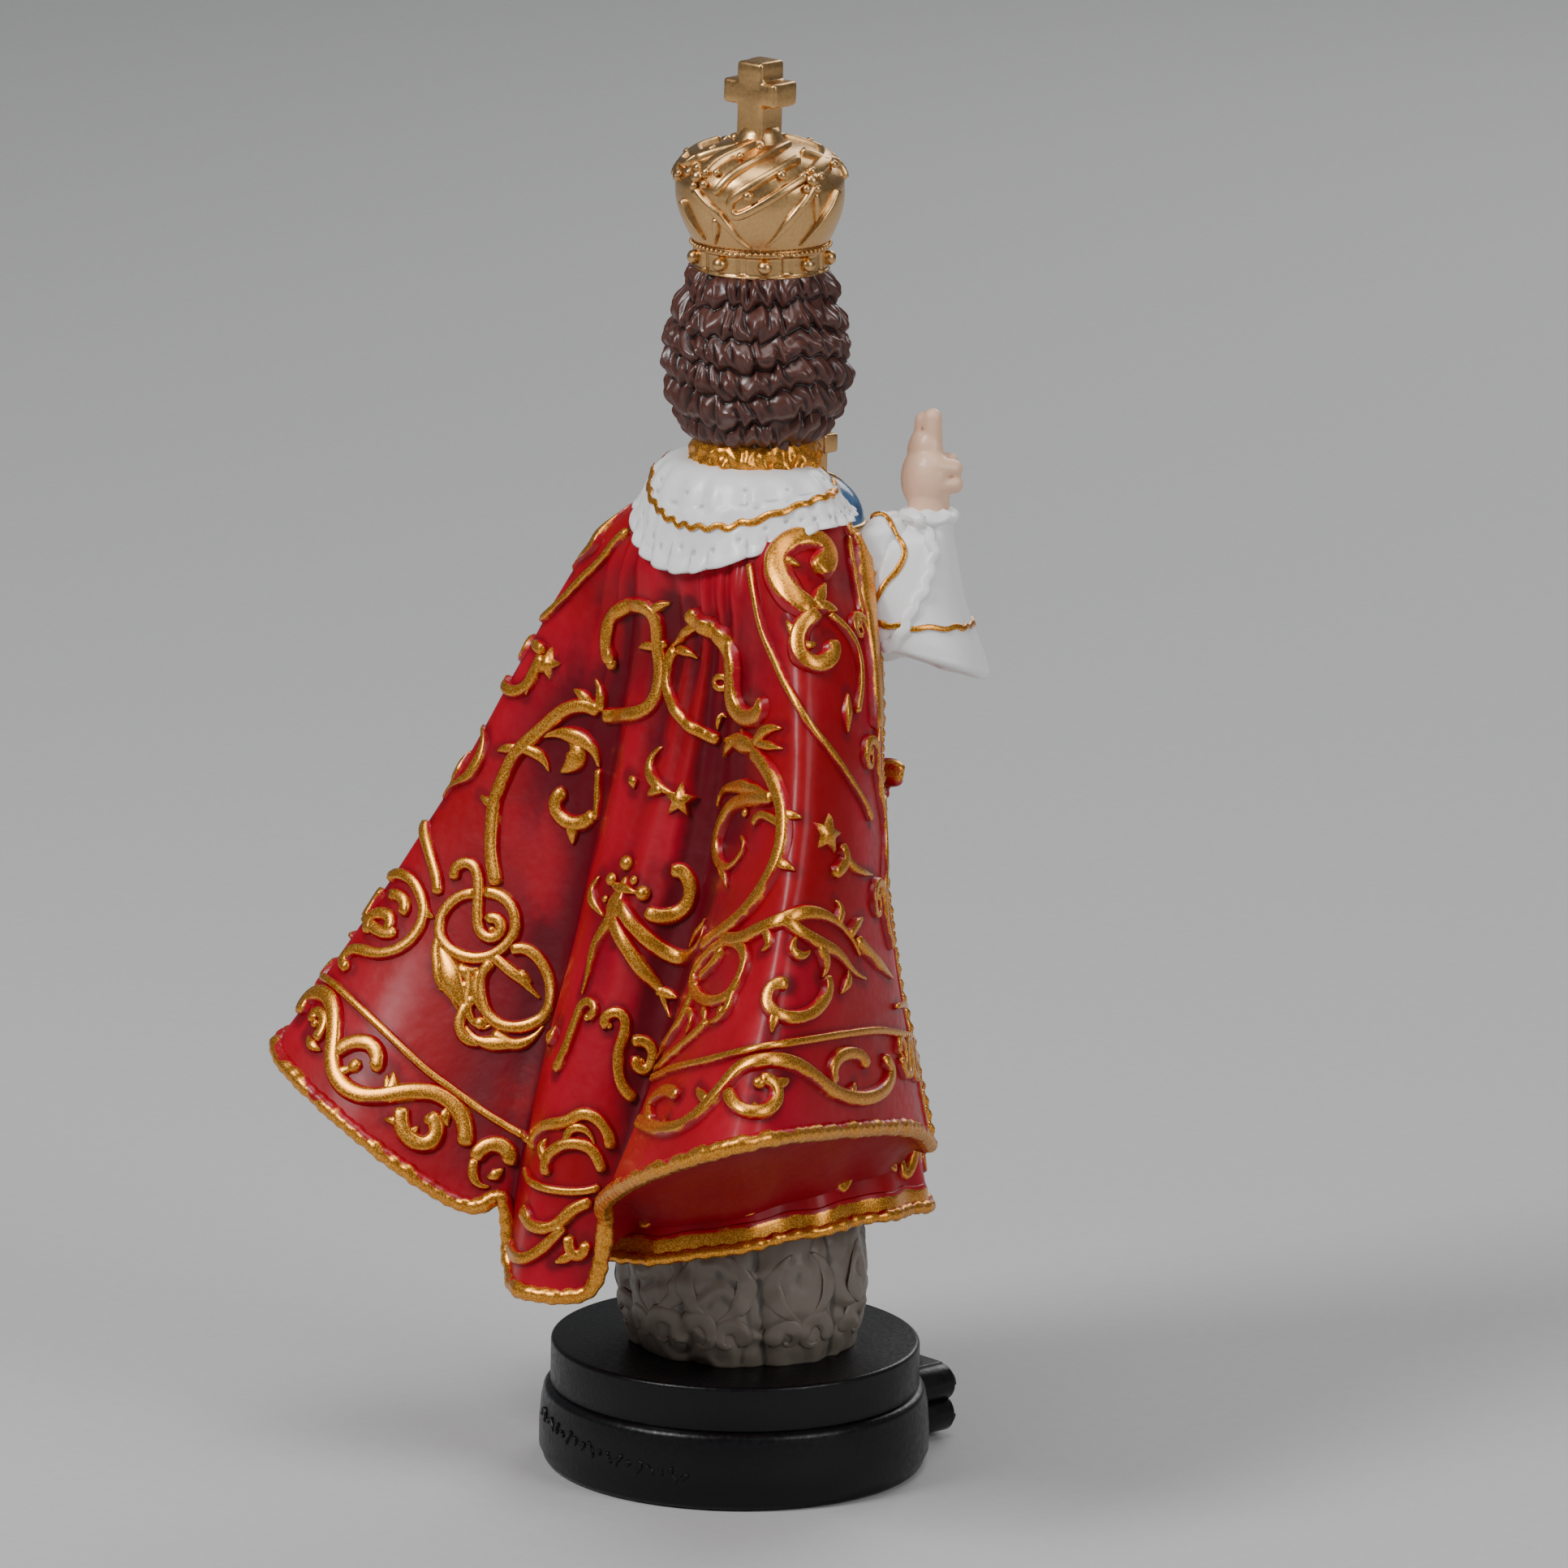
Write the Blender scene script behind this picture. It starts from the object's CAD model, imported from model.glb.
from math import atan2, copysign, cos, degrees, exp, hypot, pi, radians, sin, sqrt, tau

import bmesh
import bpy
import numpy as np
from mathutils import Matrix, Vector, noise
from mathutils.bvhtree import BVHTree
from mathutils.kdtree import KDTree


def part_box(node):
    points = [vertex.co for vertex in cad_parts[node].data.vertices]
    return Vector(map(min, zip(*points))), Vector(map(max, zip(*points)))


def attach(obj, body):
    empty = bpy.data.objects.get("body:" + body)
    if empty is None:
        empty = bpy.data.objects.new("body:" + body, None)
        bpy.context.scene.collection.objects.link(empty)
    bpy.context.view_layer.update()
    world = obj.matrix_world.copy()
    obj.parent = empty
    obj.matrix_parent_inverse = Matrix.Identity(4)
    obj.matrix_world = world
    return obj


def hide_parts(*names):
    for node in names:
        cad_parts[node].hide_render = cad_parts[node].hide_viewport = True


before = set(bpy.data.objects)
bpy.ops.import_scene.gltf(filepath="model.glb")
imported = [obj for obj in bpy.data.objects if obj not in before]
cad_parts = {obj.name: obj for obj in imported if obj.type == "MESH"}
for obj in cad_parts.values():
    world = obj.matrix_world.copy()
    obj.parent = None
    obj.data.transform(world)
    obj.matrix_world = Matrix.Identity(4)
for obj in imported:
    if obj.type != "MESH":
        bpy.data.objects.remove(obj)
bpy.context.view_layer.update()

# Crowned child statuette on a round plinth. Pieces are drawn in millimetres above the figure's foot and
# finished in metres. A place is [right, back, up], right being the figure's own right. A turn is an angle
# about the upright axis, 0 straight behind the figure and growing towards its right.
mm = 0.001
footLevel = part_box("plinth")[1].z
print("frame loaded, foot at", round(footLevel, 5))


# small helpers

def place(right, back, up):
    return Vector((-right, back, up))


def around(turn, halfWidth, halfDepth, up, right=0.0, back=0.0):  # a place on a level oval
    return place(right + halfWidth * sin(turn), back + halfDepth * cos(turn), up)


def circleAt(turn):
    return Vector((sin(turn), cos(turn), 0))


def mixed(a, b, share):
    return a + (b - a) * share


def ease(a, b, x):
    t = min(max((x - a) / (b - a), 0.0), 1.0)
    return t * t * (3 - 2 * t)


def shares(count):  # from 0 to 1 in even steps
    return [k / count for k in range(count + 1)]


def along(knots, x):  # smooth value at x through knots (x, value)
    last = len(knots) - 1
    if x <= knots[0][0]:
        return knots[0][1]
    if x >= knots[last][0]:
        return knots[last][1]
    i = next(k for k in range(last + 1) if x < knots[k][0]) - 1

    def slope(k):
        a, b = knots[max(k - 1, 0)], knots[min(k + 1, last)]
        return (b[1] - a[1]) / (b[0] - a[0])

    span = knots[i + 1][0] - knots[i][0]
    t = (x - knots[i][0]) / span
    pull = t * (1 - t) ** 2 * span * slope(i) + t * t * (t - 1) * span * slope(i + 1)
    return mixed(knots[i][1], knots[i + 1][1], t * t * (3 - 2 * t)) + pull


def splinePoint(points, u):  # even spline through points, u from 0 to 1
    last = len(points) - 1
    spot = min(max(u, 0.0), 1.0) * last
    i = min(int(spot), last - 1)
    t = spot - i
    b, c = points[i], points[i + 1]
    a = points[i - 1] if i > 0 else b * 2 - c
    d = points[i + 2] if i + 2 <= last else c * 2 - b
    bend = (a * 2 - b * 5 + c * 4 - d) * (0.5 * t * t)
    return b + (c - a) * (0.5 * t) + bend + (b * 3 - a - c * 3 + d) * (0.5 * t ** 3)


def signedTurn(turn):
    turn %= tau
    return turn - tau if turn > pi else turn


def pathLengths(points):  # how far along the path each point lies
    lengths = [0.0]
    for a, b in zip(points, points[1:]):
        lengths.append(lengths[-1] + (b - a).length)
    return lengths


def evenPath(points, step):  # the same path with evenly spaced points
    lengths = pathLengths(points)
    count = max(int(round(lengths[-1] / step)), 3)
    path, k = [], 0
    for i in range(count + 1):
        want = lengths[-1] * i / count
        while k < len(points) - 2 and lengths[k + 1] < want:
            k += 1
        part = lengths[k + 1] - lengths[k]
        path.append(points[k].lerp(points[k + 1], (want - lengths[k]) / part if part > 0 else 0.0))
    return path


def smoothedPath(points, rounds):
    for _ in range(rounds):
        middle = [(a + b * 2 + c) * 0.25 for a, b, c in zip(points, points[1:], points[2:])]
        points = [points[0]] + middle + [points[-1]]
    return points


def wayAlong(path, k):  # a path's direction at its k-th point
    return (path[min(k + 1, len(path) - 1)] - path[max(k - 1, 0)]).normalized()


def floatLayer(bm, name):
    return bm.verts.layers.float.get(name) or bm.verts.layers.float.new(name)


def gridCells(bm, columns, rows):  # a new grid's vertices, each with its column and row
    made = bmesh.ops.create_grid(bm, x_segments=columns, y_segments=rows, size=0.5)["verts"]
    return [(vert, round((vert.co.x + 0.5) * columns), round((vert.co.y + 0.5) * rows)) for vert in made]


def mergeCells(bm, cells):
    bmesh.ops.remove_doubles(bm, verts=[cell[0] for cell in cells], dist=0.0005)


def gridBody(columns, rows, shape):  # a grid laid through shape(u, v), seam and poles merged, ends closed
    bm = bmesh.new()
    cells = gridCells(bm, columns, rows)
    for vert, i, k in cells:
        vert.co = shape(i / columns, k / rows)
    mergeCells(bm, cells)
    edges = [edge for edge in bm.edges if edge.is_boundary]
    if edges:
        bmesh.ops.holes_fill(bm, edges=edges, sides=0)
    return bm


def joinInto(bm, part):
    mesh = bpy.data.meshes.new("part")
    part.to_mesh(mesh)
    part.free()
    bm.from_mesh(mesh)
    bpy.data.meshes.remove(mesh)


def addBox(bm, middle, size):
    matrix = Matrix.Translation(middle) @ Matrix.Diagonal((*size, 1))
    return bmesh.ops.create_cube(bm, size=1, matrix=matrix)["verts"]


def bevelEdges(bm, edges, offset, segments=4):
    bmesh.ops.bevel(bm, geom=edges, offset=offset, offset_type="OFFSET", affect="EDGES", segments=segments,
                    profile=0.5, material=-1)


def surfaceTree(bm):
    bmesh.ops.recalc_face_normals(bm, faces=bm.faces)
    return BVHTree.FromBMesh(bm)


def onto(tree, spots):  # the nearest places on a surface
    return [tree.find_nearest(spot)[0] for spot in spots]


def pointTree(spots):
    tree = KDTree(len(spots))
    for i, spot in enumerate(spots):
        tree.insert(spot, i)
    tree.balance()
    return tree


def markHollows(bm, rounds, strength):  # "wash" is 1 in recesses and 0 on ridges
    layer = floatLayer(bm, "wash")
    bmesh.ops.recalc_face_normals(bm, faces=bm.faces)
    bm.normal_update()
    values = {}
    for vert in bm.verts:
        near = [edge.other_vert(vert).co - vert.co for edge in vert.link_edges]
        size = sum(way.length for way in near) / max(len(near), 1) + 1e-6
        values[vert] = sum((way.dot(vert.normal) for way in near), 0.0) / (max(len(near), 1) * size)
    for _ in range(rounds):
        values = {vert: 0.4 * values[vert] + 0.6 * sum(values[e.other_vert(vert)] for e in vert.link_edges)
                  / max(len(vert.link_edges), 1) for vert in bm.verts}
    for vert in bm.verts:
        vert[layer] = min(max(0.5 + values[vert] * strength, 0.0), 1.0)


def linkObject(name, data):
    made = bpy.data.objects.new(name, data)
    bpy.context.scene.collection.objects.link(made)
    return made


def finishPiece(name, bm, material, node="figure"):
    bmesh.ops.recalc_face_normals(bm, faces=bm.faces)
    matrix = Matrix.Translation((0, 0, footLevel)) @ Matrix.Scale(mm, 4)
    bmesh.ops.transform(bm, matrix=matrix, verts=bm.verts)
    for face in bm.faces:
        face.smooth = True
    mesh = bpy.data.meshes.new(name)
    bm.to_mesh(mesh)
    bm.free()
    piece = linkObject(name, mesh)
    mesh.materials.append(material)
    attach(piece, "root")
    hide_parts(node)
    print(name, len(mesh.vertices), "points")


# camera at the photograph's angle

photo = {
    "pixels": 1932, "focal": 15038.0, "distance": 1700.0, "aimUp": 97.83, "aside": 5.473,
    "azimuth": 48.0, "elevation": 13.5, "roll": 1.0, "sensor": 36, "clip": (0.05, 50),
    "depths": (-90, 90, 3),  # tried for a pixel that misses the surface: from, to, step
}


def standpoint(azimuth, elevation):  # way from the figure to a camera or a light
    return Vector((-sin(azimuth) * cos(elevation), cos(azimuth) * cos(elevation), sin(elevation)))


def photoAxes():
    azimuth, elevation, roll = (radians(photo[key]) for key in ("azimuth", "elevation", "roll"))
    back = standpoint(azimuth, elevation)
    right = Vector((-cos(azimuth), -sin(azimuth), 0))
    up = back.cross(right)
    eye = Vector((0, 0, photo["aimUp"])) + right * photo["aside"] + back * photo["distance"]
    return eye, right * cos(roll) + up * sin(roll), up * cos(roll) - right * sin(roll), back


photoEye, photoRight, photoUp, photoBack = photoAxes()

cameraData = bpy.data.cameras.new("photoCamera")
cameraData.sensor_width = photo["sensor"]
cameraData.lens = photo["focal"] * photo["sensor"] / photo["pixels"]
cameraData.clip_start, cameraData.clip_end = photo["clip"]
camera = linkObject("photoCamera", cameraData)
camera.matrix_world = Matrix.Translation(photoEye * mm) @ Matrix(
    (photoRight, photoUp, photoBack)).transposed().to_4x4()
bpy.context.scene.camera = camera


def photoPlace(tree, x, y):  # where the photograph's pixel falls on a surface, or the nearest place to it
    centre = photo["pixels"] / 2
    way = photoRight * (x - centre) - photoUp * (y - centre) - photoBack * photo["focal"]
    way.normalize()
    eye = photoEye - Vector((0, 0, footLevel / mm))
    hit = tree.ray_cast(eye, way)
    if hit[0]:
        return hit[0]
    near = [tree.find_nearest(eye + way * (photo["distance"] + reach)) for reach in range(*photo["depths"])]
    return min((spot for spot in near if spot[0]), key=lambda spot: spot[3])[0]


# materials

finishes = {
    "red": (0.31, 0.001, 0.006, 1), "wine": (0.11, 0.001, 0.007, 1), "rose": (0.45, 0.003, 0.02, 1),
    "gold": (0.63, 0.21, 0.018, 1), "paleGold": (1.0, 0.54, 0.11, 1), "brown": (0.11, 0.045, 0.014, 1),
    "crown": (0.64, 0.37, 0.15, 1), "paleCrown": (0.74, 0.46, 0.2, 1),
    "white": (0.89, 0.89, 0.89, 1), "whiteShade": (0.5, 0.5, 0.54, 1),
    "skin": (0.84, 0.53, 0.36, 1), "skinShade": (0.45, 0.16, 0.1, 1), "warmSkin": (0.84, 0.55, 0.42, 1),
    "blush": (0.75, 0.27, 0.2, 1), "lips": (0.5, 0.09, 0.08, 1), "eyeWhite": (0.82, 0.8, 0.77, 1),
    "iris": (0.09, 0.05, 0.03, 1), "eyeLine": (0.06, 0.025, 0.018, 1),
    "hair": (0.02, 0.006, 0.005, 1), "hairLight": (0.085, 0.026, 0.018, 1),
    "orb": (0.03, 0.08, 0.19, 1), "orbLight": (0.06, 0.15, 0.3, 1),
    "stone": (0.18, 0.15, 0.12, 1), "stoneShade": (0.085, 0.072, 0.06, 1),
    "black": (0.003, 0.003, 0.004, 1), "blackWorn": (0.012, 0.012, 0.014, 1),
    "paper": (0.5, 0.5, 0.5, 1), "palePaper": (0.56, 0.56, 0.56, 1),
}


def newMaterial(name):
    material = bpy.data.materials.new(name)
    material.use_nodes = True
    return material, material.node_tree, material.node_tree.nodes["Principled BSDF"]


def feed(tree, node, inputs):  # links the sockets among the inputs and sets the constants
    for key, value in inputs.items():
        if isinstance(value, bpy.types.NodeSocket):
            tree.links.new(value, node.inputs[key])
        else:
            node.inputs[key].default_value = value
    return node


def addNode(tree, kind, inputs, **settings):
    node = tree.nodes.new(kind)
    for key, value in settings.items():
        setattr(node, key, value)
    return feed(tree, node, inputs)


def noiseAt(tree, scale, detail, roughness=0.5):
    spot = addNode(tree, "ShaderNodeTexCoord", {}).outputs["Object"]
    inputs = {"Vector": spot, "Scale": scale, "Detail": detail, "Roughness": roughness}
    return addNode(tree, "ShaderNodeTexNoise", inputs).outputs["Fac"]


def ramp(tree, value, low, high, start=0.0, end=1.0):
    inputs = {"Value": value, "From Min": low, "From Max": high, "To Min": start, "To Max": end}
    return addNode(tree, "ShaderNodeMapRange", inputs, interpolation_type="SMOOTHSTEP").outputs["Result"]


def blend(tree, share, *pair):  # mixes a pair of colours, each a socket or a finish's name
    first, second = (finishes[value] if isinstance(value, str) else value for value in pair)
    return addNode(tree, "ShaderNodeMix", {0: share, 6: first, 7: second}, data_type="RGBA").outputs[2]


def attribute(tree, name):
    return addNode(tree, "ShaderNodeAttribute", {}, attribute_name=name).outputs["Fac"]


def unevenAttribute(tree, name, patches, *limits):  # an attribute with patches of noise added
    inputs = {0: attribute(tree, name), 1: ramp(tree, patches, *limits)}
    return addNode(tree, "ShaderNodeMath", inputs, operation="ADD").outputs[0]


def bumpFrom(tree, shader, *layers):  # layers of (height, depth in metres)
    normal = {}
    for height, depth in layers:
        inputs = {"Height": height, "Distance": depth, "Strength": 1.0, **normal}
        normal = {"Normal": addNode(tree, "ShaderNodeBump", inputs).outputs["Normal"]}
    feed(tree, shader, normal)


def redLacquer():
    material, tree, shader = newMaterial("redLacquer")
    broad, fine = noiseAt(tree, 45, 4), noiseAt(tree, 700, 4)
    shaded = unevenAttribute(tree, "wash", broad, 0.3, 0.8, -0.14, 0.16)
    body = blend(tree, ramp(tree, broad, 0.35, 0.7), "red", "rose")
    feed(tree, shader, {
        "Base Color": blend(tree, ramp(tree, shaded, 0.02, 0.76), body, "wine"),
        "Roughness": ramp(tree, fine, 0.3, 0.7, 0.4, 0.52), "Specular IOR Level": 0.18,
        "Coat Weight": 0.16, "Coat Roughness": 0.18})
    bumpFrom(tree, shader, (noiseAt(tree, 190, 3), 0.0002), (fine, 0.00004))
    return material


def goldPaint(name, under, undercoat, always):
    material, tree, shader = newMaterial(name)
    grain, patches = noiseAt(tree, 4200, 3, 0.8), noiseAt(tree, 260, 4, 0.6)
    uneven = unevenAttribute(tree, "crest", patches, 0.28, 0.72, -0.4 + always, 0.45 + always)
    share = ramp(tree, uneven, 0.3, 0.6)
    base = blend(tree, ramp(tree, patches, 0.35, 0.65), undercoat, under)
    gold = blend(tree, ramp(tree, grain, 0.44, 0.66), "gold", "paleGold")
    feed(tree, shader, {
        "Base Color": blend(tree, share, base, gold), "Metallic": ramp(tree, share, 0, 1, 0, 0.85),
        "Roughness": ramp(tree, grain, 0.3, 0.7, 0.23, 0.36)})
    bumpFrom(tree, shader, (patches, 0.00006), (grain, 0.000013))
    return material


def crownGold():
    material, tree, shader = newMaterial("antiqueGold")
    grain, broad = noiseAt(tree, 2200, 3, 0.7), noiseAt(tree, 160, 4)
    worn = unevenAttribute(tree, "wash", broad, 0.3, 0.8, -0.12, 0.12)
    gold = blend(tree, ramp(tree, grain, 0.3, 0.75), "crown", "paleCrown")
    feed(tree, shader, {
        "Base Color": blend(tree, ramp(tree, worn, 0.66, 1.4), gold, "brown"), "Metallic": 1.0,
        "Roughness": ramp(tree, grain, 0.3, 0.7, 0.27, 0.35)})
    bumpFrom(tree, shader, (broad, 0.0001), (grain, 0.00001))
    return material


def washedPaint(name, colour, shade, roughness, bumps, coat, low, high, specular=0.5):
    material, tree, shader = newMaterial(name)
    broad, fine = noiseAt(tree, 110, 4), noiseAt(tree, 1300, 3)
    worn = unevenAttribute(tree, "wash", broad, 0.3, 0.8, -0.08, 0.08)
    feed(tree, shader, {
        "Base Color": blend(tree, ramp(tree, worn, low, high), colour, shade),
        "Roughness": ramp(tree, fine, 0.3, 0.7, roughness - 0.06, roughness + 0.07),
        "Coat Weight": coat, "Specular IOR Level": specular})
    bumpFrom(tree, shader, (broad, bumps * 3), (fine, bumps))
    return material


lacquer = redLacquer()
goldOnRed = goldPaint("goldOnRed", "rose", "red", 0.0)
goldOnWhite = goldPaint("goldOnWhite", "white", "whiteShade", 0.25)
crownMetal = crownGold()
whitePaint = washedPaint("whiteSatin", "white", "whiteShade", 0.38, 0.00003, 0.15, 0.56, 1.1)
skinPaint = washedPaint("skinSatin", "skin", "skinShade", 0.42, 0.00002, 0.1, 0.62, 1.1)
hairPaint = washedPaint("hairGloss", "hairLight", "hair", 0.34, 0.00004, 0.1, 0.42, 0.85)
orbPaint = washedPaint("orbGloss", "orbLight", "orb", 0.22, 0.00002, 0.4, 0.45, 0.6)
stonePaint = washedPaint("stoneSatin", "stone", "stoneShade", 0.45, 0.00003, 0.05, 0.5, 0.95)
blackPaint = washedPaint("plinthBlack", "black", "blackWorn", 0.34, 0.00004, 0.0, 0.5, 0.56, 0.28)

# strokes of raised relief, laid on a surface

ridgeProfile = [  # sideways and upwards in half widths and heights, and how much of it is gilt
    (0, -0.5, 0), (-1.6, -0.45, 0), (-1.42, 0.0, 0), (-1.22, 0.42, 0.05), (-1.0, 0.8, 0.55),
    (-0.7, 0.97, 1), (0, 0.94, 0.9), (0.7, 0.97, 1), (1.0, 0.8, 0.55), (1.22, 0.42, 0.05),
    (1.42, 0.0, 0), (1.6, -0.45, 0), (0, -0.5, 0),
]


def endShape(spot, length, width, taper):  # how full a stroke is at a spot along it
    blunt = min(max(spot / width, 0.0), 1.0), min(max((length - spot) / width, 0.0), 1.0)
    full = sqrt(1 - (1 - blunt[0]) ** 2) * sqrt(1 - (1 - blunt[1]) ** 2)
    share = spot / max(length, 1e-6)
    if taper != "none":
        full *= 1 - 0.75 * ease(0.45, 1.0, share)
    if taper == "both":
        full *= 1 - 0.75 * ease(0.55, 0.0, share)
    return full


def addRidge(bm, tree, path, halfWidth, height, taper="none", step=0.55):
    crest = floatLayer(bm, "crest")
    if taper == "tail":
        path = [path[0] - (path[1] - path[0]).normalized() * halfWidth * 1.3] + list(path)
    path = evenPath(path, step)
    count, length = len(path) - 1, pathLengths(path)[-1]
    normals = smoothedPath([tree.find_nearest(spot)[1] for spot in path], 3)
    normals = [normal.normalized() for normal in normals]
    cells = gridCells(bm, len(ridgeProfile) - 1, count)
    for vert, i, k in cells:
        aside = wayAlong(path, k).cross(normals[k]).normalized()
        full = endShape(length * k / count, length, halfWidth * 1.2, taper)
        across, upward, gilt = ridgeProfile[i]
        lift = upward * height * (0.35 + 0.65 * full) if 0 < k < count else 0.0
        vert.co = path[k] + aside * (across * halfWidth * full) + normals[k] * lift
        vert[crest] = gilt
    mergeCells(bm, cells)


def addBall(bm, spot, normal, radius, flat=0.8):
    crest = floatLayer(bm, "crest")
    turn = normal.to_track_quat("Z", "Y").to_matrix().to_4x4()
    matrix = Matrix.Translation(spot) @ turn @ Matrix.Diagonal((1, 1, flat, 1))
    made = bmesh.ops.create_uvsphere(bm, u_segments=14, v_segments=9, radius=radius, matrix=matrix)["verts"]
    for vert in made:
        vert[crest] = ease(-0.1, 0.45, (vert.co - spot).dot(normal) / radius)


def addBallOn(bm, tree, at, proud, radius, flat=0.8):
    spot, normal = tree.find_nearest(at)[:2]
    addBall(bm, spot + normal * proud, normal, radius, flat)
    return spot


def addStar(bm, spot, normal, radius, height, spin):
    crest, points = floatLayer(bm, "crest"), 5
    upward = (photoUp - normal * photoUp.dot(normal)).normalized()
    aside = upward.cross(normal)
    made = bmesh.ops.create_circle(bm, cap_ends=True, segments=points * 2, radius=1)["verts"]
    face = made[0].link_faces[0]
    rim = list(face.verts)
    top = bmesh.ops.extrude_discrete_faces(bm, faces=[face])["faces"][0]
    upper = list(top.verts)
    middle = bmesh.ops.poke(bm, faces=[top])["verts"][0]

    def put(vert, i, reach, lift):
        angle = spin + pi * i / points
        size = radius * reach * (1 if i % 2 == 0 else 0.48)
        vert.co = spot + upward * (size * cos(angle)) + aside * (size * sin(angle)) + normal * lift
        vert[crest] = 1.0 if lift > 0.3 * height else 0.0

    for i, vert in enumerate(upper):
        put(vert, i, 0.9, height * 0.7)
    for i, vert in enumerate(rim):
        put(vert, i, 1.25, -0.3)
    middle.co = spot + normal * height
    middle[crest] = 1.0
    lower = [vert for vert in rim if vert.is_valid]
    for i, vert in enumerate(lower):
        a, b = lower[i], lower[(i + 1) % len(lower)]
        c, d = upper[(i + 1) % len(upper)], upper[i]
        if not bm.faces.get((a, b, c, d)):
            bm.faces.new((a, b, c, d))


def drawnPath(tree, pixels, rounds=6):  # a stroke drawn on the photograph, laid on a surface
    flat = [Vector(pixel).to_3d() for pixel in pixels]
    rough = evenPath([splinePoint(flat, share) for share in shares(12 * len(flat))], 3.0)
    return onto(tree, smoothedPath([photoPlace(tree, spot.x, spot.y) for spot in rough], rounds))


print("helpers and materials ready")

# gown

gownSizes = {  # the lists are (up, size)
    "halfWidth": [(26, 24), (40, 21.5), (60, 18.5), (85, 17.3), (100, 15.5), (112, 14.2), (118, 11.5),
                  (124, 7)],
    "depthBehind": [(26, 24.5), (40, 21), (60, 16), (85, 12), (100, 10.8), (112, 10.3), (118, 8.5),
                    (124, 6.5)],
    "depthInFront": [(26, 26.5), (40, 23.5), (60, 20), (85, 16), (100, 14), (112, 12.5), (118, 10.5),
                     (124, 7)],
    "hemUp": 19, "hemWave": 2.7, "hemHalfWidth": 25.6, "hemHalfDepth": 27.4, "hemLip": 1.2, "rootRadius": 13,
    "pleats": 14, "pleatDepth": 0.55, "pleatEnd": (40, 105), "washShare": 0.6, "columns": 280, "rows": 130,
    "underRows": 8,
}


def onGown(turn, share, proud=0.0):
    s = gownSizes
    hem = s["hemUp"] - s["hemWave"] * cos(2 * turn)
    up = mixed(hem, s["halfWidth"][-1][0], share)
    flare = 1 - ease(hem, s["halfWidth"][0][0] + 3, up)
    depths = s["depthBehind"] if cos(turn) > 0 else s["depthInFront"]
    halfWidth = mixed(along(s["halfWidth"], up), s["hemHalfWidth"], flare)
    halfDepth = mixed(along(depths, up), s["hemHalfDepth"], flare)
    grow = s["pleatDepth"] * cos(s["pleats"] * turn) * (1 - ease(*s["pleatEnd"], up)) + proud
    return around(turn, halfWidth + grow, halfDepth + grow, up)


def buildGown():
    s = gownSizes
    rows, under = s["rows"], s["underRows"]

    def shape(u, v):
        turn, row = tau * u, round(v * (rows + under))
        if row >= under:
            return onGown(turn, (row - under) / rows)
        edge = onGown(turn, 0, -s["hemLip"] * (1 - row / under) * 2)
        root = around(turn, s["rootRadius"], s["rootRadius"], s["hemUp"] + s["hemWave"])
        return root if row == 0 else root.lerp(edge, ease(0, under, row) ** 0.5)

    bm = gridBody(s["columns"], rows + under, shape)
    markHollows(bm, 4, 9)
    layer = floatLayer(bm, "wash")
    for vert in bm.verts:
        vert[layer] *= s["washShare"]
    return bm, surfaceTree(bm)


gownMesh, gownTree = buildGown()

# mantle: fold lines of its right half at shoulder, elbow, waist, knee and hem

mantleSizes = {
    "neckUp": 123.5, "neckHalfWidth": 11.5, "neckHalfDepth": 8.6, "pleats": 13, "pleatDepth": 0.34,
    "dentDepth": 0.34, "lip": 1.6, "sag": 2.6, "inset": (0.62, 0.5), "insideTurns": (215, 145),
    "columns": 320, "inner": 16, "rows": 216, "lipRows": 4, "underRows": 14, "smoothing": 14,
}
foldLines = [  # turn at the neck, tilt of the hem, places
    (0, 0, [(0, 12.6, 112.5), (0, 13.3, 99), (0, 21.8, 73), (0, 33, 42.5), (0, 40, 13.5)]),
    (17, 0, [(4.5, 13, 112.5), (5, 13.8, 99.5), (5.5, 21.2, 74), (7, 30.5, 43), (8.5, 35, 14.5)]),
    (33, 0.3, [(9, 12.2, 112.8), (10, 12.8, 100.5), (11.5, 16.8, 76.5), (11.5, 24.5, 49.5), (11, 34.5, 24)]),
    (48, 3.6, [(12.5, 11.9, 113), (14, 13.2, 101.5), (18, 18, 79.5), (19, 27.5, 54.5), (15.5, 38.5, 26)]),
    (62, 3, [(17, 11.4, 113.5), (20, 13.9, 103.5), (27.2, 20.4, 83.5), (32.5, 30.5, 61.5), (33, 46, 35.5)]),
    (76, 3, [(20.2, 9.4, 113.5), (26, 13.1, 103.3), (34.4, 19.6, 83.8), (42, 29.6, 63.3), (50, 43, 43)]),
    (92, 1.9, [(21, 3.8, 113), (26.6, 5.6, 102.8), (32, 8.4, 83.3), (37.8, 12.6, 62.3), (45, 20, 41)]),
    (112, 0.6, [(18.5, -3.5, 112.8), (23.5, -2.5, 101.8), (26, -1.5, 83.3), (29.5, -1, 62.3), (36, 0, 37.2)]),
    (138, 0.5, [(17.3, -7.2, 112.5), (17, -9, 101), (17.5, -9.5, 82), (19.5, -10.5, 59),
        (25.5, -13.5, 30.3)]),
]


def mantleLines():
    def line(turn, tilt, spots, side):
        start = around(side * radians(turn), mantleSizes["neckHalfWidth"], mantleSizes["neckHalfDepth"],
                       mantleSizes["neckUp"])
        return [start] + [place(side * right, back, up + side * tilt * (level / 4) ** 2)
                          for level, (right, back, up) in enumerate(spots)]

    left = [line(*fold, -1) for fold in foldLines[1:]]
    return left[::-1] + [line(*fold, 1) for fold in foldLines]


def asGrid(skin):
    return np.array([[spot[:] for spot in line] for line in skin])


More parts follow.
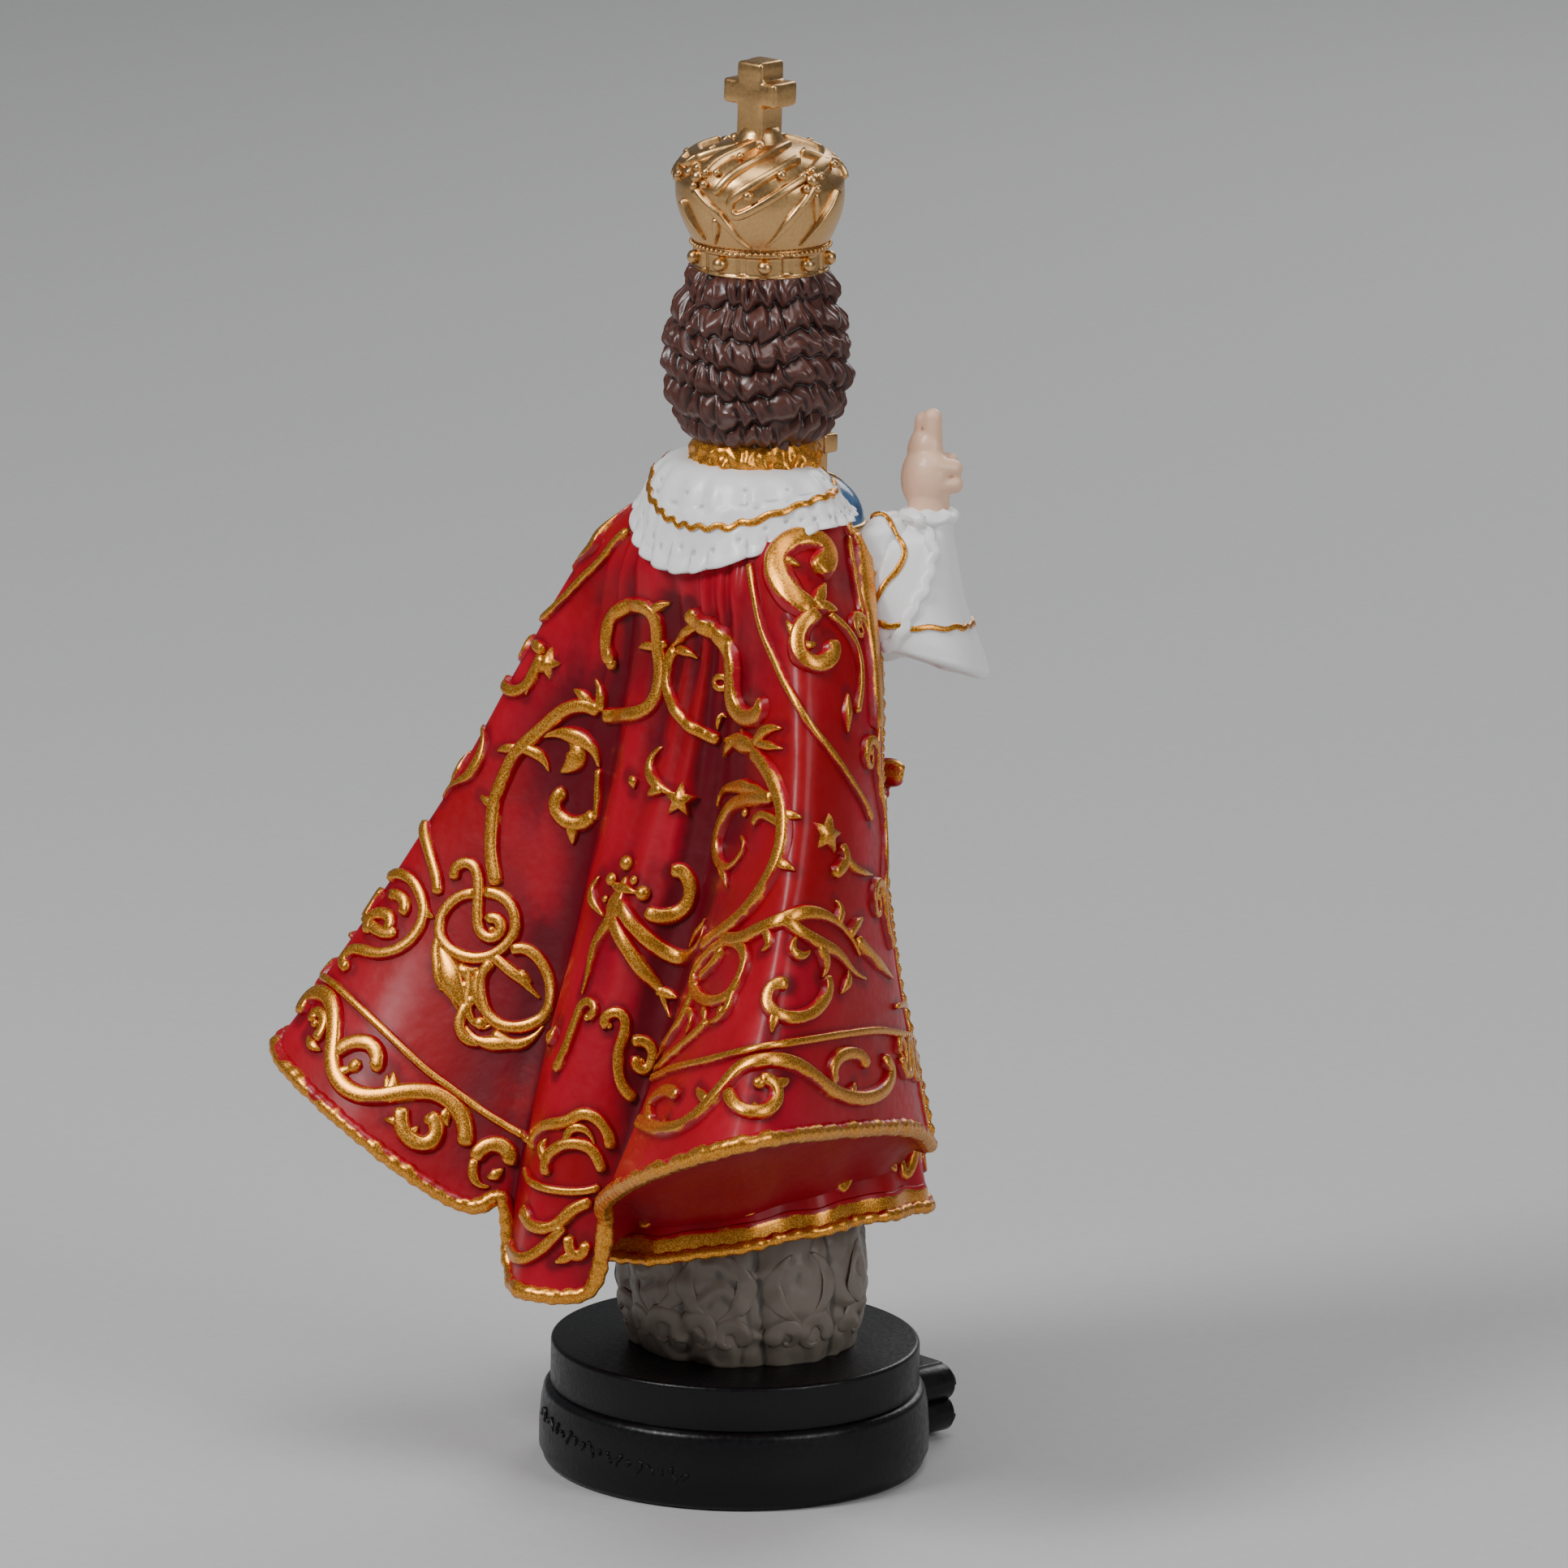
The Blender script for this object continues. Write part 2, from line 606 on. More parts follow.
def mantleSkin():  # rows of points over the mantle's outside, from the neck to the hem
    s = mantleSizes
    lines, columns, rows = mantleLines(), s["columns"], s["rows"]
    skin = []
    for down in shares(rows):
        keys = [splinePoint(points, down) for points in lines]
        skin.append([splinePoint(keys, u) for u in shares(columns)])
    grid = asGrid(skin)
    for _ in range(s["smoothing"]):
        grid[:, 1:-1] = (grid[:, :-2] + grid[:, 2:] + 2 * grid[:, 1:-1]) / 4
    skin = [[Vector(spot) for spot in line] for line in grid]
    for down, line in zip(shares(rows), skin):
        pleated = ease(0.03, 0.14, down) * (1 - ease(0.35, 0.85, down))
        dented = s["dentDepth"] * ease(0, 0.1, down) * (1 - ease(0.93, 1, down))
        for u, spot in zip(shares(columns), line):
            out = Vector((spot.x, spot.y, 0)).normalized()
            wave = cos(tau * s["pleats"] * (u + 0.06 * sin(21 * u)) + 2 * sin(3 * down + 5 * u))
            dent = noise.noise((u * 15, down * 7, 0)) + 0.5 * noise.noise((u * 34, down * 16, 5))
            aside = 1 - ease(0.16, 0.26, abs(u - 0.5))
            spot += out * (s["pleatDepth"] * pleated * aside * wave + dented * dent)
    return skin


def buildMantle(skin):
    s = mantleSizes
    columns, inner, rows, lipRows, underRows = (
        s[key] for key in ("columns", "inner", "rows", "lipRows", "underRows"))
    hem = skin[-1]
    roots = [onGown(atan2(-spot.x, spot.y), 0.03, -2.6) for spot in hem]

    def inward(share, reachFrom):  # from the lip to the gown
        line = []
        for spot, root in zip(hem, roots):
            lip = s["lip"] / (spot - root).length
            between = spot.lerp(root, mixed(lip * reachFrom, 1, share))
            between.z += s["sag"] * 4 * share * (1 - share)
            line.append(between)
        return line

    allRows = skin + [inward(0, k / lipRows) for k in range(1, lipRows + 1)]
    allRows += [inward(k / underRows, 1) for k in range(1, underRows + 1)]
    closedRows = []
    for number, line in enumerate(allRows):
        inset = mixed(*s["inset"], max(number - rows, 0) / (len(allRows) - rows))
        first, last = line[0], line[-1]
        reach = hypot(first.x, first.y) * inset
        extra = []
        for share in shares(inner - 2):
            turn = radians(mixed(*s["insideTurns"], share))
            extra.append(around(turn, -reach, reach, mixed(last.z, first.z, share)))
        closedRows.append(line + extra + [first])
    across, down = columns + inner, len(allRows) - 1
    return gridBody(across, down, lambda u, v: closedRows[round(v * down)][round(u * across)])


skin = mantleSkin()
mantleMesh = buildMantle(skin)
mantleTree = surfaceTree(mantleMesh)
print("mantle skin laid")

# gold scrollwork: strokes drawn on the photograph as (half width in pixels, taper, places)

scrolls = [
    (3, "none", [(777, 652), (760, 668), (741, 692), (720, 712), (700, 734), (686, 748), (668, 766)]),
    (5, "both", [(780, 613), (765, 625), (757, 640), (745, 652), (733, 673), (715, 690), (703, 702)]),
    (5.5, "none", [(755, 820), (750, 800), (750, 780), (755, 762), (768, 750), (785, 745), (800, 749),
        (809, 760), (812, 775), (813, 800), (816, 820), (815, 840), (810, 860), (800, 873), (785, 880),
        (765, 882), (742, 882)]),
    (3.5, "tail", [(805, 752), (815, 745), (829, 743)]),
    (3.5, "tail", [(810, 797), (795, 795), (788, 800)]),
    (3.5, "none", [(813, 790), (825, 797)]),
    (4, "tail", [(742, 872), (742, 850), (733, 834)]),
    (4.5, "tail", [(728, 868), (720, 856), (706, 848)]),
    (5.5, "none", [(742, 878), (725, 869), (705, 872), (690, 880), (678, 890), (665, 902), (645, 920),
        (634, 934), (624, 955), (616, 974), (611, 990), (608, 1015), (607, 1050), (610, 1075), (613, 1093)]),
    (4, "tail", [(636, 922), (622, 923), (612, 926)]),
    (4, "tail", [(612, 992), (602, 988), (592, 979)]),
    (7, "both", [(668, 908), (690, 903), (712, 908), (728, 917), (737, 932), (740, 948)]),
    (9, "both", [(700, 908), (712, 920), (712, 935), (702, 945), (690, 953)]),
    (4.5, "tail", [(648, 922), (664, 929), (674, 940), (678, 953)]),
    (3, "none", [(740, 945), (739, 970), (738, 1000), (734, 1012)]),
    (5.5, "none", [(700, 974), (689, 980), (685, 992), (690, 1005), (702, 1014), (716, 1015), (728, 1010),
        (735, 1000)]),
    (5, "tail", [(707, 1014), (707, 1028), (707, 1043)]),
    (4.5, "none", [(672, 806), (660, 828), (655, 840), (648, 848), (636, 853), (626, 850), (623, 842),
        (630, 830)]),
    (3.5, "tail", [(655, 838), (651, 848), (649, 859)]),
    (5, "both", [(597, 893), (598, 912), (594, 932), (586, 948), (578, 958), (565, 965), (550, 975),
        (541, 984)]),
    (3.5, "both", [(578, 922), (568, 938), (556, 950), (547, 968)]),
    (4.5, "none", [(530, 1010), (524, 1022), (528, 1040), (533, 1058), (538, 1075), (541, 1090),
        (540, 1105)]),
    (7, "none", [(850, 749), (857, 762), (868, 770), (885, 779), (896, 792), (903, 810), (904, 835),
        (904, 855), (908, 872), (920, 885), (935, 883), (942, 872), (936, 864)]),
    (4, "tail", [(862, 768), (847, 780), (835, 792), (826, 799)]),
    (3.5, "tail", [(840, 801), (855, 806), (862, 813)]),
    (4.5, "none", [(835, 797), (827, 812), (823, 835), (827, 858), (836, 878), (850, 894), (868, 904),
        (890, 913)]),
    (2.5, "both", [(885, 902), (886, 888), (893, 877), (897, 886)]),
    (8, "both", [(893, 912), (910, 913), (928, 920), (938, 932)]),
    (4, "tail", [(905, 915), (898, 925), (892, 935)]),
    (4.5, "tail", [(935, 915), (943, 902), (955, 897), (966, 898)]),
    (3.5, "tail", [(938, 917), (952, 920), (966, 923)]),
    (3.5, "tail", [(925, 916), (918, 905), (914, 896)]),
    (5.8, "none", [(930, 925), (942, 940), (953, 958), (961, 978), (966, 995), (967, 1015), (966, 1035),
        (961, 1056), (952, 1078), (937, 1103), (920, 1125), (900, 1143), (880, 1157), (868, 1168)]),
    (6, "both", [(955, 984), (938, 974), (918, 970), (900, 971), (889, 980), (886, 997)]),
    (5.5, "tail", [(950, 984), (928, 985), (908, 991), (897, 1005), (889, 1025), (886, 1045), (888, 1062),
        (896, 1071), (906, 1066), (915, 1053), (920, 1040), (915, 1029)]),
    (4, "tail", [(892, 1068), (896, 1080), (897, 1094)]),
    (3.5, "none", [(968, 1018), (955, 1010), (942, 1003), (934, 1010), (930, 1019)]),
    (4, "tail", [(967, 1003), (978, 1006), (990, 1008)]),
    (4, "tail", [(962, 1063), (970, 1068), (981, 1074)]),
    (5, "both", [(818, 920), (808, 928), (802, 942), (804, 956), (812, 968), (824, 976), (838, 980)]),
    (4, "tail", [(815, 973), (806, 977), (798, 981)]),
    (4.5, "both", [(776, 956), (784, 962), (782, 974)]),
    (4.5, "tail", [(668, 800), (660, 792), (650, 790)]),
    (5, "none", [(1032, 1040), (1039, 1054), (1036, 1067), (1024, 1078)]),
    (3, "tail", [(1040, 1056), (1050, 1070), (1062, 1076), (1074, 1078)]),
    (9, "none", [(1003, 705), (1014, 698), (1019, 685), (1013, 671), (997, 663), (980, 665), (966, 674),
        (957, 688), (957, 703), (964, 719), (975, 734), (988, 745), (1003, 752)]),
    (4, "tail", [(960, 692), (970, 692), (980, 696), (987, 699)]),
    (5, "tail", [(1005, 745), (1010, 732), (1016, 717)]),
    (5, "tail", [(1008, 748), (1020, 750), (1032, 754)]),
    (6.5, "none", [(1008, 755), (994, 764), (985, 778), (983, 795), (987, 809), (998, 818), (1010, 819),
        (1021, 812), (1025, 800), (1021, 787)]),
    (3.5, "tail", [(988, 795), (998, 797), (1006, 791)]),
    (4, "tail", [(988, 786), (977, 777), (969, 762)]),
    (3, "none", [(1018, 757), (1033, 768), (1047, 785), (1055, 805), (1058, 825), (1058, 845), (1056, 862),
        (1053, 880)]),
    (4, "both", [(1043, 852), (1042, 880), (1043, 905)]),
    (2.8, "none", [(925, 693), (928, 715), (933, 740), (938, 765), (946, 790), (957, 815), (967, 838),
        (980, 862), (992, 885), (1006, 906), (1022, 926), (1037, 948), (1052, 972), (1064, 992),
        (1071, 1012)]),
    (2.5, "none", [(1043, 660), (1047, 690), (1053, 720), (1060, 760)]),
    (4.5, "none", [(563, 1086), (561, 1073), (570, 1064), (581, 1063), (588, 1071), (591, 1085), (591, 1100),
        (590, 1120), (590, 1138), (594, 1150), (604, 1157), (615, 1154), (620, 1143), (615, 1132),
        (604, 1130), (601, 1139)]),
    (4.5, "none", [(590, 1100), (570, 1104), (553, 1117), (544, 1135), (543, 1152), (552, 1167), (568, 1177),
        (590, 1181), (610, 1176), (626, 1164), (636, 1148), (637, 1130), (630, 1114), (615, 1102),
        (596, 1099)]),
    (4, "tail", [(543, 1155), (538, 1172), (540, 1190), (541, 1208), (550, 1222), (560, 1235)]),
    (4, "tail", [(565, 1195), (558, 1208), (557, 1222), (562, 1238), (566, 1247)]),
    (4.5, "none", [(628, 1172), (645, 1168), (662, 1178), (674, 1195), (680, 1215), (680, 1235), (672, 1252),
        (655, 1262), (635, 1266), (615, 1262), (602, 1250), (596, 1232), (594, 1212), (598, 1195),
        (610, 1183)]),
    (4.5, "tail", [(612, 1180), (628, 1195), (645, 1208), (655, 1220), (668, 1232)]),
    (4.5, "both", [(636, 1192), (645, 1205), (658, 1212)]),
    (4, "tail", [(568, 1193), (580, 1206), (578, 1225), (577, 1245), (585, 1262), (598, 1268), (610, 1260)]),
    (4.5, "tail", [(592, 1200), (588, 1218), (592, 1240), (600, 1256)]),
    (4.5, "tail", [(575, 1240), (567, 1258), (570, 1275), (584, 1286), (602, 1284), (615, 1275)]),
    (4.5, "tail", [(612, 1276), (630, 1287), (650, 1284), (665, 1272), (672, 1262)]),
    (6, "both", [(688, 1262), (684, 1276), (676, 1290)]),
    (4.5, "none", [(478, 1085), (492, 1077), (508, 1083), (519, 1100), (524, 1120), (520, 1140), (508, 1158),
        (492, 1170), (470, 1176), (450, 1172), (438, 1170), (428, 1178), (423, 1188), (432, 1195)]),
    (4.5, "none", [(480, 1104), (492, 1102), (500, 1110), (501, 1122), (495, 1130)]),
    (4, "none", [(476, 1096), (462, 1103), (452, 1115), (446, 1133)]),
    (4.5, "none", [(456, 1152), (455, 1140), (462, 1128), (474, 1125), (484, 1132), (482, 1143),
        (476, 1150)]),
    (4, "tail", [(523, 1120), (528, 1128), (537, 1132)]),
    (3, "none", [(398, 1203), (415, 1215), (440, 1238), (470, 1266), (500, 1295), (530, 1322), (558, 1342),
        (585, 1362), (612, 1380), (640, 1396), (655, 1405)]),
    (6.4, "none", [(372, 1252), (378, 1237), (390, 1225), (404, 1226), (412, 1240), (414, 1262), (412, 1290),
        (411, 1310), (416, 1328), (428, 1342), (446, 1350), (468, 1351), (490, 1347), (510, 1345),
        (535, 1347), (556, 1358), (570, 1375), (575, 1395), (573, 1415)]),
    (4.5, "none", [(388, 1262), (388, 1250), (396, 1246), (402, 1256), (398, 1272), (388, 1284)]),
    (4.5, "both", [(380, 1275), (386, 1290), (398, 1296)]),
    (4.5, "tail", [(440, 1312), (434, 1318), (424, 1318)]),
    (5, "tail", [(480, 1353), (486, 1336), (484, 1318)]),
    (4.5, "both", [(556, 1360), (548, 1376), (553, 1390)]),
    (5, "both", [(598, 1452), (612, 1448), (622, 1438)]),
    (9, "both", [(545, 1150), (546, 1172), (554, 1194), (562, 1216), (572, 1238), (578, 1258)]),
    (5, "both", [(556, 1186), (568, 1196), (582, 1198), (594, 1192)]),
    (5, "both", [(560, 1210), (574, 1216), (590, 1216)]),
    (5, "both", [(568, 1234), (580, 1234), (594, 1230)]),
    (5.5, "both", [(580, 1256), (592, 1262), (606, 1258)]),
    (4, "tail", [(546, 1190), (538, 1196), (533, 1190)]),
    (4, "tail", [(553, 1212), (545, 1220), (538, 1216)]),
    (6, "both", [(572, 1262), (588, 1282), (612, 1286), (640, 1286), (660, 1276)]),
    (4.5, "none", [(452, 1130), (462, 1144), (478, 1152), (492, 1146)]),
    (6, "none", [(412, 1300), (425, 1290), (442, 1284), (458, 1287), (467, 1300), (466, 1313), (458, 1320)]),
    (4, "tail", [(485, 1350), (478, 1338), (477, 1322)]),
    (4, "tail", [(418, 1322), (432, 1318), (438, 1310)]),
    (6, "none", [(497, 1362), (495, 1378), (497, 1392), (506, 1404), (520, 1411), (534, 1406), (540, 1394),
        (536, 1380), (527, 1372)]),
    (4, "tail", [(497, 1384), (485, 1381), (472, 1379)]),
    (4, "tail", [(502, 1400), (512, 1393), (517, 1386)]),
    (6, "none", [(585, 1432), (592, 1418), (605, 1410), (620, 1412), (630, 1424), (626, 1438)]),
    (4, "tail", [(585, 1432), (583, 1448), (592, 1462), (606, 1462)]),
    (4.2, "tail", [(762, 1112), (755, 1130), (745, 1148), (737, 1163), (730, 1185), (725, 1205),
        (718, 1228)]),
    (9.5, "both", [(773, 1078), (769, 1098), (761, 1118), (757, 1138), (761, 1154)]),
    (5, "both", [(752, 1084), (762, 1094), (776, 1097), (790, 1102)]),
    (6, "tail", [(768, 1118), (778, 1135), (790, 1150), (805, 1163), (822, 1174), (842, 1181), (858, 1172),
        (867, 1156), (871, 1138)]),
    (5.6, "tail", [(760, 1140), (768, 1158), (778, 1175), (790, 1193), (803, 1207), (815, 1220), (820, 1235),
        (828, 1255)]),
    (4, "tail", [(813, 1221), (826, 1225), (836, 1230)]),
    (7, "both", [(766, 1098), (762, 1115), (758, 1135), (755, 1148)]),
    (4.5, "both", [(742, 1078), (732, 1095), (734, 1114), (746, 1130)]),
    (5.6, "none", [(826, 1076), (838, 1071), (848, 1080), (853, 1095), (851, 1110), (843, 1121), (828, 1128),
        (810, 1129), (794, 1122)]),
    (3.5, "tail", [(850, 1100), (856, 1094), (861, 1088)]),
    (3, "both", [(872, 1130), (866, 1143), (856, 1158), (850, 1170)]),
    (4.5, "none", [(898, 1160), (880, 1172), (866, 1188), (858, 1204), (858, 1220), (868, 1232), (885, 1235),
        (900, 1228), (911, 1213), (919, 1195), (921, 1178), (915, 1165), (905, 1160)]),
    (4, "none", [(893, 1165), (886, 1182), (875, 1197), (865, 1206)]),
    (4, "tail", [(860, 1215), (852, 1235), (846, 1250), (838, 1264), (828, 1280), (815, 1298), (806, 1312)]),
    (4, "tail", [(905, 1225), (900, 1242), (890, 1255), (875, 1262)]),
    (3.5, "both", [(846, 1242), (856, 1250), (852, 1264), (846, 1276)]),
    (3.5, "both", [(868, 1240), (872, 1250), (870, 1262)]),
    (3.5, "both", [(890, 1238), (892, 1248), (884, 1256)]),
    (3.5, "tail", [(872, 1262), (858, 1276), (842, 1290), (826, 1304), (808, 1322)]),
    (5.5, "tail", [(895, 1158), (915, 1158), (932, 1149), (948, 1142), (962, 1136), (978, 1127), (995, 1124),
        (1012, 1127), (1028, 1136), (1042, 1150), (1052, 1165), (1058, 1180)]),
    (5, "tail", [(968, 1135), (982, 1147), (1000, 1158), (1018, 1168), (1032, 1177), (1042, 1190),
        (1052, 1200), (1066, 1207)]),
    (5, "tail", [(1008, 1168), (1014, 1182), (1014, 1198), (1010, 1206)]),
    (4, "both", [(1042, 1190), (1043, 1208), (1034, 1225)]),
    (4, "tail", [(1045, 1150), (1052, 1138), (1062, 1130)]),
    (4, "tail", [(1030, 1135), (1034, 1120), (1028, 1108)]),
    (4.5, "tail", [(1055, 1160), (1068, 1175), (1082, 1190), (1098, 1206)]),
    (4, "tail", [(945, 1144), (950, 1156), (949, 1168), (938, 1173)]),
    (4.5, "both", [(982, 1152), (974, 1166), (978, 1178), (990, 1178), (998, 1170)]),
    (5, "none", [(972, 1213), (958, 1212), (948, 1222), (946, 1236), (952, 1248), (966, 1254), (984, 1254),
        (1000, 1247), (1012, 1234), (1018, 1218), (1014, 1200)]),
    (4, "tail", [(955, 1250), (952, 1262), (950, 1275)]),
    (3.8, "none", [(725, 1256), (734, 1250), (736, 1240), (728, 1233), (718, 1240), (714, 1253), (708, 1268),
        (702, 1286), (694, 1304), (685, 1322)]),
    (4.2, "none", [(752, 1268), (745, 1260), (750, 1250), (763, 1246), (772, 1256), (770, 1272), (764, 1290),
        (762, 1310), (764, 1330), (772, 1346), (785, 1356)]),
    (4.2, "none", [(776, 1284), (792, 1282), (804, 1290), (806, 1305), (799, 1318), (788, 1318), (782, 1308),
        (788, 1300)]),
    (3, "none", [(806, 1330), (830, 1318), (860, 1311), (900, 1301), (945, 1290), (990, 1282), (1040, 1274),
        (1085, 1270), (1125, 1280)]),
    (5.5, "none", [(790, 1382), (812, 1392), (838, 1390), (860, 1376), (880, 1355), (898, 1334), (912, 1318),
        (932, 1309), (955, 1306), (978, 1311), (998, 1324), (1015, 1338), (1036, 1350), (1060, 1354),
        (1080, 1348), (1092, 1334), (1094, 1316), (1085, 1304)]),
    (5, "none", [(804, 1384), (802, 1368), (812, 1352), (828, 1344), (838, 1352)]),
    (3.5, "tail", [(822, 1390), (822, 1378)]),
    (4, "tail", [(872, 1356), (864, 1346), (860, 1340)]),
    (5, "none", [(934, 1330), (946, 1330), (955, 1340), (956, 1354), (948, 1366), (932, 1371), (914, 1368),
        (902, 1356), (899, 1342)]),
    (4.5, "tail", [(952, 1336), (963, 1335), (972, 1328)]),
    (3.5, "tail", [(930, 1370), (930, 1356)]),
    (5, "none", [(1026, 1338), (1022, 1320), (1030, 1303), (1045, 1297), (1060, 1303), (1066, 1316)]),
    (3.5, "tail", [(1046, 1346), (1052, 1332)]),
    (5, "both", [(1108, 1318), (1112, 1302), (1122, 1300), (1132, 1312), (1136, 1332), (1134, 1352)]),
    (4.5, "none", [(658, 1418), (660, 1400), (672, 1388), (690, 1384), (700, 1382), (716, 1372), (730, 1374),
        (744, 1386), (752, 1402), (752, 1418)]),
    (4.5, "none", [(676, 1450), (674, 1434), (680, 1420), (694, 1411), (712, 1409), (728, 1414), (738, 1428),
        (744, 1446)]),
    (3.5, "tail", [(672, 1425), (668, 1412), (676, 1402)]),
    (3.5, "tail", [(700, 1410), (700, 1398), (708, 1389), (720, 1390), (730, 1400), (734, 1414)]),
    (3, "none", [(650, 1440), (656, 1456), (672, 1464), (700, 1468), (725, 1467), (742, 1462)]),
    (4.5, "none", [(646, 1492), (656, 1510), (672, 1514), (688, 1508), (700, 1496), (714, 1486),
        (732, 1480)]),
    (4.5, "none", [(632, 1526), (632, 1542), (642, 1552), (656, 1548), (672, 1536), (686, 1522),
        (696, 1508)]),
    (4.5, "none", [(702, 1520), (702, 1538), (710, 1548), (722, 1542), (722, 1528)]),
    (4, "tail", [(704, 1546), (694, 1552), (682, 1556)]),
    (3.5, "tail", [(650, 1490), (655, 1503), (652, 1516)]),
]
bandStrokes = [
    (9, "none", [(1059, 648), (1061, 680), (1064, 720), (1068, 760), (1072, 800), (1076, 850), (1078, 900)]),
]
balls = [(774, 1064, 10), (756, 1084, 9), (783, 1085, 6), (793, 1101, 10), (748, 1108, 5), (755, 818, 8),
         (833, 1075, 7), (921, 1002, 6), (530, 1380, 8), (390, 1262, 6), (826, 1122, 5), (935, 1335, 8),
         (644, 1200, 6), (607, 1146, 5), (482, 1140, 4), (752, 1264, 4), (790, 1308, 5), (725, 1254, 5)]
stars = [(675, 818, 20, 0.3), (838, 986, 20, 0.1), (1019, 1028, 23, 0.25)]  # x, y, size, turn
ringStroke = {"x": 890, "y": 841, "radius": 8, "halfWidth": 3.5}
scrollSizes = {
    "pixelsPerMillimetre": 8.85, "fatten": 1.4, "height": 1.0, "ballProud": 0.25,
    "mirrorFrom": 74,  # strokes further round than this turn are repeated on the left side
}


def layStroke(bm, tree, path, wide, height, taper, trail):  # the trail keeps where strokes ran
    addRidge(bm, tree, path, wide, height, taper)
    trail.extend((spot, wide) for spot in evenPath(path, 0.8))


def buildScrollwork(tree):
    s = scrollSizes
    bm, hidden, trail, scale = bmesh.new(), bmesh.new(), [], s["pixelsPerMillimetre"]
    for halfWidth, taper, pixels in scrolls + bandStrokes:
        path = drawnPath(tree, pixels)
        wide = halfWidth / scale * s["fatten"]
        height = s["height"] * min(1.15, 0.5 + 0.62 * wide)
        layStroke(bm, tree, path, wide, height, taper, trail)
        meanTurn = sum(degrees(atan2(-spot.x, spot.y)) for spot in path) / len(path)
        if meanTurn > s["mirrorFrom"]:
            other = onto(tree, [Vector((-spot.x, spot.y, spot.z)) for spot in path])
            layStroke(hidden, tree, other, wide, height, taper, trail)
    for x, y, size in balls:
        spot = addBallOn(bm, tree, photoPlace(tree, x, y), s["ballProud"], size / scale)
        trail.append((spot, size / scale))
    for x, y, size, spin in stars:
        spot, normal = tree.find_nearest(photoPlace(tree, x, y))[:2]
        addStar(bm, spot, normal, size / scale, 1.0, spin)
        trail.append((spot, size / scale * 0.7))
    x, y, radius = ringStroke["x"], ringStroke["y"], ringStroke["radius"]
    pixels = [(x + radius * cos(tau * share), y + radius * sin(tau * share)) for share in shares(12)]
    addRidge(bm, tree, drawnPath(tree, pixels, 1), ringStroke["halfWidth"] / scale, 0.6)
    return bm, hidden, trail


def skinAt(u, v):  # a place on the mantle's outside, u across from its left front edge, v down from the neck
    columns, rows = mantleSizes["columns"], mantleSizes["rows"]
    across, down = min(max(u, 0), 1) * columns, min(max(v, 0), 1) * rows
    i, k = min(int(across), columns - 1), min(int(down), rows - 1)
    upper = skin[k][i].lerp(skin[k][i + 1], across - i)
    return upper.lerp(skin[k + 1][i].lerp(skin[k + 1][i + 1], across - i), down - k)


vineSizes = {
    "halfWidth": 0.58, "curlWidth": 0.62, "sway": 0.012, "waves": 2.5, "curl": 5.2, "curls": 5,
    "lineDown": 0.868, "lineWidth": 0.36, "borderDown": 0.922, "borderWave": 0.02, "borderWidth": 0.6,
    "borderCurlWidth": 0.5, "ball": 0.85,
}
vines = [(0.07, 0.3, 0.8, 1), (0.935, 0.3, 0.8, -1), (0.15, 0.36, 0.8, -1)]  # across, from, to, hand
borders = [(0.035, 0.19, 5), (0.928, 0.972, 2)]  # from, to, waves


def addVines(bm, tree, trail):
    s = vineSizes

    def stroke(path, wide, taper):
        path = smoothedPath(onto(tree, path), 3)
        layStroke(bm, tree, path, wide, scrollSizes["height"] * 0.9, taper, trail)

    def border(start, end, waves):
        level = s["borderDown"]
        stroke([skinAt(mixed(start, end, t), s["lineDown"]) for t in shares(60)], s["lineWidth"], "none")
        stroke([skinAt(mixed(start, end, t), level + s["borderWave"] * sin(tau * waves * t))
                for t in shares(90)], s["borderWidth"], "none")
        for wave in range(2 * waves):
            middle, side = mixed(start, end, (wave + 0.5) / (2 * waves)), (-1) ** wave
            stroke([skinAt(middle + 0.0085 * exp(-0.05 * k) * cos(0.42 * k + 2.4),
                           level - side * (0.006 + 0.02 * exp(-0.06 * k) * sin(0.42 * k)))
                    for k in range(16)], s["borderCurlWidth"], "tail")

    def vine(across, top, bottom, hand):
        def stem(t):
            return skinAt(across + hand * s["sway"] * sin(tau * s["waves"] * t), mixed(bottom, top, t))

        stroke([stem(t) for t in shares(60)], s["halfWidth"], "tail")
        for number in range(s["curls"]):
            base = 0.08 + 0.2 * number
            start = stem(base)
            normal = tree.find_nearest(start)[1].normalized()
            upward = (stem(base + 0.02) - start).normalized()
            aside = upward.cross(normal).normalized() * (hand * (-1) ** number)
            size = s["curl"] * (1 - 0.09 * number)
            centre = start + aside * size * 0.62 + upward * size * 0.5
            curl = [start]
            for k in range(34):
                angle, reach = radians(215 - 15 * k), size * 0.72 * exp(-0.036 * k)
                curl.append(centre + aside * (reach * cos(angle)) + upward * (reach * sin(angle)))
            stroke(curl, s["curlWidth"], "tail")
            addBallOn(bm, tree, curl[-1], scrollSizes["ballProud"], s["ball"])

    for values in borders:
        border(*values)
    for values in vines:
        vine(*values)


scrollMesh, hiddenScrollMesh, scrollTrail = buildScrollwork(mantleTree)
addVines(hiddenScrollMesh, mantleTree, scrollTrail)
finishPiece("mantleScrollwork", scrollMesh, goldOnRed)
finishPiece("mantleScrollworkLeft", hiddenScrollMesh, goldOnRed)


washSizes = {
    "from": -0.5, "to": 1.5, "folds": 0.85, "pool": 0.6, "poolFrom": 3, "poolTo": 20, "poolRadius": 8,
    "poolDepths": (-1.2, 0.6), "rim": 0.5, "lining": 0.35, "skinReach": 0.4, "smoothing": 220,
}


